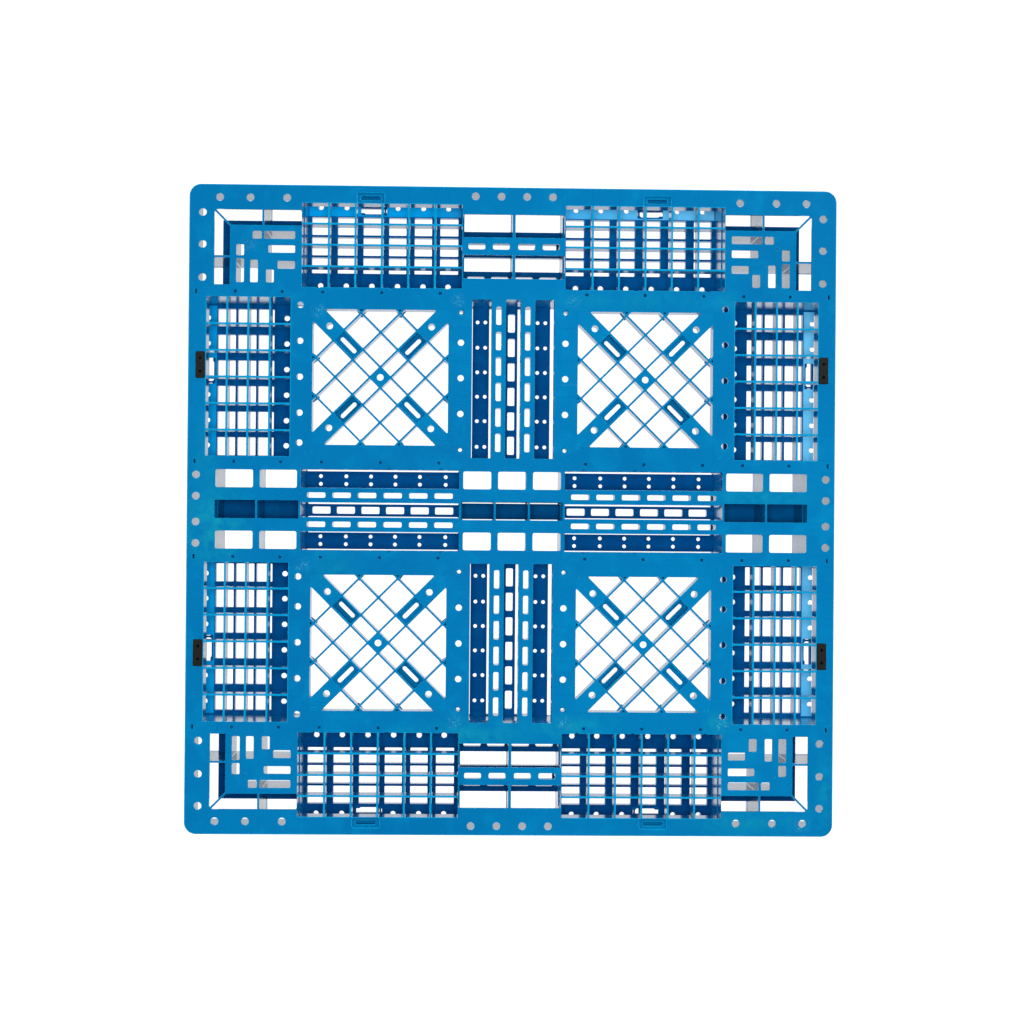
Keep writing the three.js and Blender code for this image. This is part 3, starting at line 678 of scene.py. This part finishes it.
    t = Solids()
    mids = [112.5, 156.5, 201.5, 246.5, 291.5, 336.5]
    for sx, sy in QUADS:
        for c in mids:
            drill(t, sx * c, sy * 394.5, 4.8, -3, top=top)
            drill(t, sx * 394.5, sy * c, 4.8, -3, top=top)
            if abs(c - 246.5) > 1:
                drill(t, sx * c, sy * 532.6, 4.5, -3, top=top)
                drill(t, sx * 532.6, sy * c, 4.5, -3, top=top)
        for c in (113.6, 159, 202, 245, 288.4, 333):
            for v in (46.1, 59.7):
                drill(t, sx * v, sy * c, 3.3, -3, top=top, n=20)
                drill(t, sx * c, sy * v, 3.3, -3, top=top, n=20)
        for px, py, lx, ly in ((243.4, 526.5, 17.5, 3.9), (526.5, 243.4, 3.9, 17.5)):
            opening(t, mirrored(rect(px - lx, px + lx, py - ly, py + ly), sx, sy), -3, top=12, r=0.4, rc=3.6, k=5, over=2)
    me = combine(me, t, "DIFFERENCE", "base holes")
    # pocket recesses of the base
    t = Solids()
    for sx, sy in QUADS:
        opening(t, mirrored(rect(243.4 - 22.5, 243.4 + 22.5, 519.5, 534), sx, sy), 12, top=top, rc=1.5, over=0)
        opening(t, mirrored(rect(519.5, 534, 243.4 - 22.5, 243.4 + 22.5), sx, sy), 12, top=top, rc=1.5, over=0)
    me = combine(me, t, "DIFFERENCE", "base pockets")

    # pads under the hooks of the outer walls
    t = Solids()
    for face, d, y in snap_places():
        if abs(face) == BASE_HALF:
            block(t, rect(face + d * 1, face + d * 13, y - 9, y + 9), 0.1, BASE_TOP - 0.1, rc=1, r=0.4)
    me = combine(me, t, "UNION", "hook pads")

    hooks = Solids()
    for face, d, y in snap_places():
        inner = face + d * (WALL + 0.3)
        prof = [(inner, 16), (inner + d * 3, 16), (inner + d * 3, 39.4), (inner + d * 2.4, 40), (inner + d * 1, 40), (inner, 38.5), (inner, 36.6),
                (inner - d * 2.5, 32.2), (inner - d * 2.5, 30.6), (inner - d * 2.2, 30.3), (inner, 30.3)]
        if d > 0:
            prof = prof[::-1]
        a = [(x, y - 7, z) for x, z in prof]
        b = [(x, y + 7, z) for x, z in prof]
        hooks.rings([a, b])
    me = combine(me, hooks, "UNION", "hooks")
    return me


# ------------------------------------------------------------------ plugs and inserts
def build_plug(side, y):
    """Channel end plug: head flush with the deck's end, ribbed cup, nose in the tube, snap tongue in the latch window."""
    hw, hh = 7.2, 14.0
    x0, x1 = 520.3, 549.7

    def xr(x, a, b, c, d, rc=1.0, off=0.0):
        return [(x, p, TUBE_Z + q) for p, q in rounded(rect(a, b, c, d), off, rc, 3)]

    s = Solids()
    s.rings([xr(x0, -hw, hw, -hh, hh, off=-0.6), xr(x0 + 0.6, -hw, hw, -hh, hh), xr(x1 - 0.6, -hw, hw, -hh, hh), xr(x1, -hw, hw, -hh, hh, off=-0.6)])
    me = s.mesh("plug")
    n = Solids()
    n.rings([xr(x0 - 14, -5.3, 5.3, -12.1, 12.1, 0.8, -1.0), xr(x0 - 12, -5.3, 5.3, -12.1, 12.1, 0.8), xr(x0 + 1, -5.3, 5.3, -12.1, 12.1, 0.8)])
    me = combine(me, n, "UNION", "nose")
    n = Solids()
    block(n, rect(537.6 - 1.3, 537.6 + 1.6, -3.8, 3.8), TUBE_Z + hh - 1, 144.6, rc=0.5, r=0.6, k=2, r_low=0)
    me = combine(me, n, "UNION", "tongue")
    c = Solids()
    for z0, z1 in ((-12, -2.9), (-0.9, 8)):
        c.rings([xr(x1 - 12, -5.2, 5.2, z0, z1, 0.8, -0.4), xr(x1 - 11, -5.2, 5.2, z0, z1, 0.8), xr(x1 - 0.4, -5.2, 5.2, z0, z1, 0.8), xr(x1 + 3, -5.2, 5.2, z0, z1, 0.8, 0.9)])
    me = combine(me, c, "DIFFERENCE", "cup")
    me.transform(Matrix.Translation((0, y, 0)) @ Matrix.Rotation(0 if side > 0 else math.pi, 4, "Z"))
    return me


def build_insert(x, y):
    s = Solids()
    block(s, rect(x - 7.9, x + 7.9, y - 22.5, y + 22.5), 143.3, 150.98, rc=3.4, r=1.0, k=6, r_low=0.4)
    me = s.mesh("insert")
    k = Solids()
    block(k, rect(x - 3.5, x + 3.5, y - 17.2, y + 17.2), 135.3, 144, rc=3.3, r=0, k=5, r_low=0.6)
    me = combine(me, k, "UNION", "keel")
    # shallow rim line and the two blind holes
    k = Solids()
    for e in (1, -1):
        k.rings([at_z(circle(x, y + e * 11.2, 2.1, 20), 144.6), at_z(circle(x, y + e * 11.2, 2.5, 20), 150.3), at_z(circle(x, y + e * 11.2, 3.5, 20), 151.3)])
    me = combine(me, k, "DIFFERENCE", "dots")
    return me


# ------------------------------------------------------------------ materials
def link(nt, a, b):
    nt.links.new(a, b)


def math_node(nt, op, a, b=None, c=None, clamp=False):
    n = nt.nodes.new("ShaderNodeMath")
    n.operation = op
    n.use_clamp = clamp
    for i, v in enumerate((a, b, c)):
        if v is None:
            continue
        if isinstance(v, (int, float)):
            n.inputs[i].default_value = v
        else:
            link(nt, v, n.inputs[i])
    return n.outputs[0]


def ramp(nt, fac, lo, hi, a=0.0, b=1.0):
    n = nt.nodes.new("ShaderNodeMapRange")
    n.clamp = True
    n.inputs["From Min"].default_value = lo
    n.inputs["From Max"].default_value = hi
    n.inputs["To Min"].default_value = a
    n.inputs["To Max"].default_value = b
    link(nt, fac, n.inputs["Value"])
    return n.outputs[0]


def noise(nt, vec, scale, detail=3, rough=0.5, dist=0.0):
    n = nt.nodes.new("ShaderNodeTexNoise")
    n.inputs["Scale"].default_value = scale
    n.inputs["Detail"].default_value = detail
    n.inputs["Roughness"].default_value = rough
    n.inputs["Distortion"].default_value = dist
    link(nt, vec, n.inputs["Vector"])
    return n.outputs["Fac"]


def mix(nt, fac, a, b, kind="MIX"):
    n = nt.nodes.new("ShaderNodeMix")
    n.data_type = "RGBA"
    n.blend_type = kind
    for sock, v in ((n.inputs[0], fac), (n.inputs[6], a), (n.inputs[7], b)):
        if isinstance(v, (int, float)):
            sock.default_value = v
        elif isinstance(v, tuple):
            sock.default_value = (*v, 1.0) if len(v) == 3 else v
        else:
            link(nt, v, sock)
    return n.outputs[2]


def new_material(name):
    m = bpy.data.materials.new(name)
    m.use_nodes = True
    nt = m.node_tree
    bsdf = nt.nodes["Principled BSDF"]
    geo = nt.nodes.new("ShaderNodeTexCoord")
    return m, nt, bsdf, geo.outputs["Object"]


def srgb(r, g, b):
    f = lambda c: (c / 255 / 12.92) if c / 255 <= 0.04045 else ((c / 255 + 0.055) / 1.055) ** 2.4
    return (f(r), f(g), f(b))


def near_lines(nt, coord, places, half, core=0.0):
    """1 on the lines |coord| = place, falling to 0 at half a width away."""
    c = math_node(nt, "ABSOLUTE", coord)
    total = None
    for p in places:
        d = math_node(nt, "ABSOLUTE", math_node(nt, "SUBTRACT", c, p))
        v = ramp(nt, d, core, half, 1.0, 0.0)
        total = v if total is None else math_node(nt, "MAXIMUM", total, v)
    return total


def within(nt, value, lo, hi, soft=0.0005):
    return math_node(nt, "MULTIPLY", ramp(nt, value, lo - soft, lo), ramp(nt, value, hi, hi + soft, 1.0, 0.0))


TUBE_LINES = [y / 1000 for y in TUBE_Y]


def moulded_blue(name, base, dark, light, top=False, painted_base_shading=False, seed=0.0):
    """Moulded polyolefin: flow-mottled colour, rounded edges lighter from scuffs and a painted highlight, a painted
    highlight on the rib tops, sink lines over the ribs with painted shade, painted shade in the drain dots, fine
    scuffs, satin with a little orange peel; on the base, painted shade on the front row and painted light on the outer
    strip.
    """
    m, nt, bsdf, obj = new_material(name)
    mapn = nt.nodes.new("ShaderNodeMapping")
    mapn.inputs["Location"].default_value = (seed, seed * 0.7, 0)
    link(nt, obj, mapn.inputs["Vector"])
    vec = mapn.outputs[0]
    big = noise(nt, vec, 3.2, 4, 0.55)
    mid = noise(nt, vec, 22, 4, 0.6, 0.6)
    fine = noise(nt, vec, 420, 2, 0.5)
    col = mix(nt, ramp(nt, big, 0.34, 0.68), dark, base)
    col = mix(nt, ramp(nt, mid, 0.5, 0.8, 0.0, 0.3), col, light)
    g = nt.nodes.new("ShaderNodeNewGeometry")
    sep = nt.nodes.new("ShaderNodeSeparateXYZ")
    link(nt, g.outputs["True Normal"], sep.inputs[0])
    nz = math_node(nt, "ABSOLUTE", sep.outputs[2])
    flat = ramp(nt, nz, 0.985, 0.998)
    pos = nt.nodes.new("ShaderNodeSeparateXYZ")
    link(nt, obj, pos.inputs[0])
    x, y, z = pos.outputs[0], pos.outputs[1], pos.outputs[2]
    # rounded edges are scuffed lighter and carry a painted highlight: they are the facets that lean
    lean = math_node(nt, "MULTIPLY", ramp(nt, nz, 0.2, 0.34), ramp(nt, nz, 0.985, 0.95))
    wear_and_highlight = math_node(nt, "MULTIPLY", lean, ramp(nt, noise(nt, vec, 60, 3), 0.3, 0.62, 0.35, 0.9))
    col = mix(nt, wear_and_highlight, col, light)
    # upright walls keep the mould's polish; level faces are duller
    rough = math_node(nt, "ADD", ramp(nt, mid, 0.3, 0.75, 0.0, 0.06), ramp(nt, nz, 0.3, 0.95, 0.155, 0.26))
    height2 = mid
    if painted_base_shading:
        # painted shade: the front row of the base is made a darker blue
        upper = math_node(nt, "MULTIPLY", ramp(nt, z, 0.0165, 0.0175), flat)
        front = math_node(nt, "MULTIPLY", ramp(nt, y, -0.36, -0.43, 0.0, 0.5), upper)
        col = mix(nt, front, col, srgb(0, 44, 104))
        # painted light: the thin outer strip of the base is paler at the back and the right
        band = within(nt, math_node(nt, "MAXIMUM", math_node(nt, "ABSOLUTE", x), math_node(nt, "ABSOLUTE", y)), 0.5175, 0.5365)
        band = math_node(nt, "MULTIPLY", band, within(nt, math_node(nt, "MINIMUM", math_node(nt, "ABSOLUTE", x), math_node(nt, "ABSOLUTE", y)), 0.09, 0.357))
        band = math_node(nt, "MULTIPLY", math_node(nt, "MULTIPLY", band, upper), ramp(nt, y, -0.51, -0.4, 0.0, 0.85))
        painted_light_far = ramp(nt, math_node(nt, "ADD", x, math_node(nt, "MULTIPLY", y, 0.35)), 0.05, 0.55)
        col = mix(nt, band, col, mix(nt, painted_light_far, srgb(0, 166, 236), srgb(112, 208, 250)))
    if top:
        ax, ay = math_node(nt, "ABSOLUTE", x), math_node(nt, "ABSOLUTE", y)
        face = math_node(nt, "MULTIPLY", flat, ramp(nt, z, 0.1485, 0.1495))
        big_c = math_node(nt, "MAXIMUM", ax, ay)
        small_c = math_node(nt, "MINIMUM", ax, ay)
        # the thin ribs of the grids get a painted highlight on top, lighter than the broad plates
        grid = math_node(nt, "MULTIPLY", within(nt, big_c, 0.3765, 0.5205), within(nt, small_c, 0.0895, 0.3598))
        lattice = math_node(nt, "MULTIPLY", within(nt, big_c, 0.1105, 0.3395), within(nt, small_c, 0.1105, 0.3395))
        rib_top_highlight = math_node(nt, "MULTIPLY", face, math_node(nt, "ADD", grid, math_node(nt, "MULTIPLY", lattice, 0.12), clamp=True))
        col = mix(nt, math_node(nt, "MULTIPLY", rib_top_highlight, 0.75), col, light)
        # sink lines where ribs meet the plates from below: a shallow dip in the bump, with painted shade along it
        cell = [0.0905, 0.1335, 0.179, 0.2165, 0.2705, 0.3135, 0.357]
        border = ramp(nt, big_c, 0.5193, 0.5203)
        lx = math_node(nt, "MULTIPLY", near_lines(nt, x, cell + [0.425, 0.0], 0.0014), ramp(nt, ay, 0.5193, 0.5203))
        ly = math_node(nt, "MULTIPLY", near_lines(nt, y, cell + [0.4275, 0.0172], 0.0014), ramp(nt, ax, 0.5193, 0.5203))
        band = within(nt, small_c, 0.0, 0.3598)
        lb = math_node(nt, "MULTIPLY", near_lines(nt, y, [0.139, 0.195, 0.255, 0.316], 0.0012), within(nt, ax, 0.3405, 0.3768))
        lc = math_node(nt, "MULTIPLY", near_lines(nt, y, [0.134, 0.195, 0.255, 0.311], 0.0012), within(nt, ax, 0.0705, 0.1095))
        ld = math_node(nt, "MULTIPLY", near_lines(nt, x, [0.139, 0.195, 0.255, 0.316], 0.0012), within(nt, ay, 0.3405, 0.3768))
        le = math_node(nt, "MULTIPLY", near_lines(nt, y, [0.0172, 0.0705, 0.0905], 0.0012), within(nt, ax, 0.0, 0.55))
        diag = ramp(nt, math_node(nt, "ABSOLUTE", math_node(nt, "SUBTRACT", ax, ay)), 0.0, 0.0022, 1.0, 0.0)
        lf = math_node(nt, "MULTIPLY", diag, ramp(nt, small_c, 0.5075, 0.5095))
        sink_dip_and_shade = lx
        for v in (ly, lb, lc, ld, math_node(nt, "MULTIPLY", le, 0.6), lf):
            sink_dip_and_shade = math_node(nt, "MAXIMUM", sink_dip_and_shade, v)
        sink_dip_and_shade = math_node(nt, "MULTIPLY", sink_dip_and_shade, face)
        sink_dip_and_shade = math_node(nt, "MULTIPLY", sink_dip_and_shade, ramp(nt, noise(nt, vec, 16, 3), 0.3, 0.6, 0.35, 1.0))
        col = mix(nt, math_node(nt, "MULTIPLY", sink_dip_and_shade, 0.85), col, dark)
        # painted shade in the blind drain dots
        dots = math_node(nt, "MULTIPLY", near_lines(nt, x, [0.4712, 0.392, 0.3235, 0.2236, 0.1246], 0.0036, 0.0032), near_lines(nt, y, TUBE_LINES, 0.0036, 0.0032))
        dots = math_node(nt, "MULTIPLY", dots, within(nt, z, 0.1452, 0.1490, 0.0003))
        col = mix(nt, math_node(nt, "MULTIPLY", dots, 0.7), col, srgb(0, 58, 112))
        # faint greenish flow stains in a few places
        total = None
        for cx, cy, rx, ry, amt in ((-0.50, -0.03, 0.07, 0.09, 0.8), (-0.08, -0.38, 0.15, 0.035, 0.6), (0.43, 0.03, 0.12, 0.035, 0.45), (-0.30, -0.10, 0.06, 0.05, 0.3),
                                    (0.40, -0.525, 0.14, 0.03, 0.45), (0.2, 0.36, 0.2, 0.025, 0.3), (-0.52, 0.08, 0.03, 0.1, 0.35), (0.1, -0.365, 0.12, 0.025, 0.5),
                                    (0.535, -0.47, 0.02, 0.08, 0.5), (0.35, -0.36, 0.03, 0.03, 0.6), (0.36, 0.357, 0.03, 0.02, 0.4)):
            dx = math_node(nt, "DIVIDE", math_node(nt, "SUBTRACT", x, cx), rx)
            dy = math_node(nt, "DIVIDE", math_node(nt, "SUBTRACT", y, cy), ry)
            d = math_node(nt, "SQRT", math_node(nt, "ADD", math_node(nt, "MULTIPLY", dx, dx), math_node(nt, "MULTIPLY", dy, dy)))
            v = ramp(nt, d, 1.0, 0.1, 0.0, amt)
            total = v if total is None else math_node(nt, "MAXIMUM", total, v)
        blot = math_node(nt, "MULTIPLY", total, ramp(nt, noise(nt, vec, 34, 5, 0.65, 1.2), 0.38, 0.62, 0.15, 1.0))
        blot = math_node(nt, "MULTIPLY", blot, face)
        col = mix(nt, blot, col, srgb(16, 152, 172))
        # rubbed, whitened specks round the gate marks
        near = None
        for cx, cy in ((-0.095, -0.357), (0.092, -0.358), (-0.095, 0.357), (0.36, -0.357), (-0.447, 0.449), (-0.331, 0.336), (-0.353, -0.094), (0.101, 0.357), (0.497, -0.53)):
            dx, dy = math_node(nt, "SUBTRACT", x, cx), math_node(nt, "SUBTRACT", y, cy)
            d = math_node(nt, "SQRT", math_node(nt, "ADD", math_node(nt, "MULTIPLY", dx, dx), math_node(nt, "MULTIPLY", dy, dy)))
            v = ramp(nt, d, 0.016, 0.003, 0.0, 1.0)
            near = v if near is None else math_node(nt, "MAXIMUM", near, v)
        speck = math_node(nt, "MULTIPLY", near, ramp(nt, noise(nt, vec, 260, 4, 0.7, 1.5), 0.56, 0.66))
        col = mix(nt, math_node(nt, "MULTIPLY", math_node(nt, "MULTIPLY", speck, face), 0.75), col, srgb(120, 205, 215))
        # fine handling scratches
        sc = None
        for turn, scale, lo in ((0.7, (14, 220, 40), 0.70), (-0.35, (190, 12, 40), 0.71)):
            st = nt.nodes.new("ShaderNodeMapping")
            st.inputs["Rotation"].default_value = (0, 0, turn)
            st.inputs["Scale"].default_value = scale
            link(nt, obj, st.inputs["Vector"])
            v = ramp(nt, noise(nt, st.outputs[0], 1.0, 4, 0.6, 0.8), lo, lo + 0.08)
            sc = v if sc is None else math_node(nt, "MAXIMUM", sc, v)
        sc = math_node(nt, "MULTIPLY", math_node(nt, "MULTIPLY", sc, face), ramp(nt, noise(nt, vec, 7, 3), 0.48, 0.66))
        col = mix(nt, math_node(nt, "MULTIPLY", sc, 0.28), col, srgb(90, 180, 220))
        rough = math_node(nt, "ADD", rough, math_node(nt, "MULTIPLY", sc, 0.15))
        height2 = math_node(nt, "SUBTRACT", mid, math_node(nt, "MULTIPLY", sink_dip_and_shade, 0.25))
    link(nt, col, bsdf.inputs["Base Color"])
    link(nt, rough, bsdf.inputs["Roughness"])
    bsdf.inputs["IOR"].default_value = 1.5
    bsdf.inputs["Specular Tint"].default_value = (0.35, 0.8, 1.0, 1.0)
    b1 = nt.nodes.new("ShaderNodeBump")
    link(nt, ramp(nt, nz, 0.3, 0.95, 0.008, 0.06), b1.inputs["Strength"])
    b1.inputs["Distance"].default_value = 0.0004
    link(nt, fine, b1.inputs["Height"])
    b2 = nt.nodes.new("ShaderNodeBump")
    link(nt, ramp(nt, nz, 0.3, 0.95, 0.012, 0.1), b2.inputs["Strength"])
    b2.inputs["Distance"].default_value = 0.002
    link(nt, height2, b2.inputs["Height"])
    link(nt, b1.outputs[0], b2.inputs["Normal"])
    link(nt, b2.outputs[0], bsdf.inputs["Normal"])
    return m


def rubber_material():
    m, nt, bsdf, obj = new_material("black_rubber")
    a = noise(nt, obj, 330, 4, 0.65)
    b = noise(nt, obj, 900, 2, 0.5)
    col = mix(nt, ramp(nt, a, 0.4, 0.66), srgb(6, 6, 7), srgb(30, 28, 26))
    g = nt.nodes.new("ShaderNodeNewGeometry")
    sep = nt.nodes.new("ShaderNodeSeparateXYZ")
    link(nt, g.outputs["True Normal"], sep.inputs[0])
    nz = math_node(nt, "ABSOLUTE", sep.outputs[2])
    lean = math_node(nt, "MULTIPLY", ramp(nt, nz, 0.2, 0.34), ramp(nt, nz, 0.985, 0.95))
    col = mix(nt, math_node(nt, "MULTIPLY", lean, 0.6), col, srgb(14, 15, 17))
    link(nt, col, bsdf.inputs["Base Color"])
    link(nt, ramp(nt, a, 0.3, 0.7, 0.62, 0.8), bsdf.inputs["Roughness"])
    bp = nt.nodes.new("ShaderNodeBump")
    bp.inputs["Strength"].default_value = 0.25
    bp.inputs["Distance"].default_value = 0.0003
    link(nt, b, bp.inputs["Height"])
    link(nt, bp.outputs[0], bsdf.inputs["Normal"])
    return m


def steel_material():
    m, nt, bsdf, obj = new_material("galvanised_steel")
    v = nt.nodes.new("ShaderNodeTexVoronoi")
    v.inputs["Scale"].default_value = 120
    link(nt, obj, v.inputs["Vector"])
    st = nt.nodes.new("ShaderNodeMapping")
    st.inputs["Scale"].default_value = (8, 400, 400)
    link(nt, obj, st.inputs["Vector"])
    drawn = noise(nt, st.outputs[0], 1.0, 3, 0.6)
    col = mix(nt, ramp(nt, v.outputs["Distance"], 0.1, 0.7), srgb(150, 156, 160), srgb(186, 190, 193))
    col = mix(nt, ramp(nt, drawn, 0.55, 0.8, 0.0, 0.4), col, srgb(128, 130, 130))
    link(nt, col, bsdf.inputs["Base Color"])
    bsdf.inputs["Metallic"].default_value = 0.95
    link(nt, ramp(nt, drawn, 0.3, 0.7, 0.28, 0.46), bsdf.inputs["Roughness"])
    bp = nt.nodes.new("ShaderNodeBump")
    bp.inputs["Strength"].default_value = 0.15
    bp.inputs["Distance"].default_value = 0.0002
    link(nt, drawn, bp.inputs["Height"])
    link(nt, bp.outputs[0], bsdf.inputs["Normal"])
    return m


DECK_MAT = moulded_blue("moulded_blue_deck", srgb(0, 119, 177), srgb(0, 109, 167), srgb(0, 156, 208), top=True)
# painted shade: the base is the deck's plastic set a darker blue, as it looks in the deck's shade
BASE_MAT = moulded_blue("moulded_blue_base", srgb(0, 89, 152), srgb(0, 80, 143), srgb(0, 130, 192), painted_base_shading=True, seed=3.1)
PLUG_MAT = moulded_blue("moulded_blue_plug", srgb(0, 115, 173), srgb(0, 105, 163), srgb(0, 150, 204), seed=7.3)
RUBBER = rubber_material()
STEEL = steel_material()


def finish_piece(name, me, mat, node, angle=20.0):
    tidy(me, angle)
    to_metres(me)
    me.name = name
    me.materials.clear()
    me.materials.append(mat)
    for p in me.polygons:
        p.material_index = 0
    o = scene_object(name, me)
    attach(o, "root")
    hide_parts(node)
    return o


finish_piece("deck_moulding", build_deck(), DECK_MAT, "deck")
finish_piece("base_moulding", build_base(), BASE_MAT, "base_frame")
ROWS = [TUBE_Y[0], TUBE_Y[1], -TUBE_Y[1], -TUBE_Y[0]]
for i, y in enumerate(ROWS):
    for side, label in ((1, "right"), (-1, "left")):
        finish_piece(f"end_plug_{label}_{i + 1}", build_plug(side, y), PLUG_MAT, f"tube_end_plug_{label}_{i + 1}")
for label, sx, sy in (("right_back", 1, 1), ("left_back", -1, 1), ("left_front", -1, -1), ("right_front", 1, -1)):
    finish_piece(f"anti_slip_insert_{label}", build_insert(sx * 529.2, sy * 243.4), RUBBER, f"rubber_insert_{label}")
for i in range(4):
    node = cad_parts[f"reinforcement_tube_{i + 1}"]
    node.data.materials.clear()
    node.data.materials.append(STEEL)

# ------------------------------------------------------------------ floor, light, camera
fm, nt, bsdf, obj = new_material("pale_floor")
soft = noise(nt, obj, 1.2, 2, 0.5)
link(nt, mix(nt, ramp(nt, soft, 0.3, 0.7), (0.24, 0.24, 0.245), (0.28, 0.28, 0.28)), bsdf.inputs["Base Color"])
bsdf.inputs["Roughness"].default_value = 0.9
bsdf.inputs["Emission Color"].default_value = (1, 1, 1, 1)
bsdf.inputs["Emission Strength"].default_value = 1.02
s = Solids()
s.rings([at_z(circle(0, 0, 9000, 96), -30), at_z(circle(0, 0, 9000, 96), -0.3)])
fme = s.mesh("floor")
to_metres(fme)
fme.materials.append(fm)
floor = scene_object("floor", fme)

world = bpy.data.worlds.new("studio")
bpy.context.scene.world = world
world.use_nodes = True
wn = world.node_tree
bg = wn.nodes["Background"]
tc = wn.nodes.new("ShaderNodeTexCoord")
sp = wn.nodes.new("ShaderNodeSeparateXYZ")
wn.links.new(tc.outputs["Generated"], sp.inputs[0])
cr = wn.nodes.new("ShaderNodeValToRGB")
els = cr.color_ramp.elements
for i, (at, v) in enumerate(((0.0, 0.75), (0.5, 0.55), (0.78, 0.25), (0.93, 0.06))):
    e = els[i] if i < 2 else els.new(at)
    e.position = at
    e.color = (v, v, v, 1)
wn.links.new(sp.outputs[2], cr.inputs[0])
mu = wn.nodes.new("ShaderNodeMath")
mu.operation = "MULTIPLY"
mu.inputs[1].default_value = 1.5
wn.links.new(cr.outputs[0], mu.inputs[0])
# the studio is brighter at the back and the right
side_x, side_y, bright = (wn.nodes.new("ShaderNodeMath") for _ in range(3))
side_x.operation = side_y.operation = "MULTIPLY_ADD"
bright.operation = "MULTIPLY"
side_x.inputs[1].default_value, side_x.inputs[2].default_value = 0.22, 0.68
side_y.inputs[1].default_value = 0.32
wn.links.new(sp.outputs[0], side_x.inputs[0])
wn.links.new(sp.outputs[1], side_y.inputs[0])
wn.links.new(side_x.outputs[0], side_y.inputs[2])
wn.links.new(side_y.outputs[0], bright.inputs[0])
wn.links.new(mu.outputs[0], bright.inputs[1])
wn.links.new(bright.outputs[0], bg.inputs["Strength"])
bg.inputs["Color"].default_value = (1, 1, 1, 1)


def area_light(name, loc, size, power, target=(0, 0, 0.1)):
    li = bpy.data.lights.new(name, "AREA")
    li.shape = "RECTANGLE"
    li.size, li.size_y = size
    li.energy = power
    o = bpy.data.objects.new(name, li)
    o.location = loc
    d = Vector(target) - Vector(loc)
    o.rotation_euler = d.to_track_quat("-Z", "Y").to_euler()
    bpy.context.scene.collection.objects.link(o)
    return o


area_light("key_right_back", (2.6, 2.4, 2.6), (2.2, 2.2), 50)
area_light("fill_left", (-3.0, 0.6, 2.4), (2.0, 2.4), 14)
area_light("fill_front", (0.2, -3.1, 2.4), (2.6, 1.8), 8)
# a soft overhead light beside the camera reaches down into the cells; it isn't mirrored in the deck
overhead = area_light("overhead", (-0.09, -0.02, 3.9), (0.7, 0.7), 92)
overhead.visible_glossy = False

cam = bpy.data.cameras.new("camera")
cam.lens = 71.0
cam.sensor_width = 36.0
cam.clip_end = 50
co = bpy.data.objects.new("camera", cam)
co.location = (-0.0877637, -0.0176135, 3.56170699)
co.rotation_euler = (5.55421798e-03, -2.48194535e-02, 8.21141600e-03)
bpy.context.scene.collection.objects.link(co)
bpy.context.scene.camera = co
bpy.context.scene.view_settings.view_transform = "Standard"
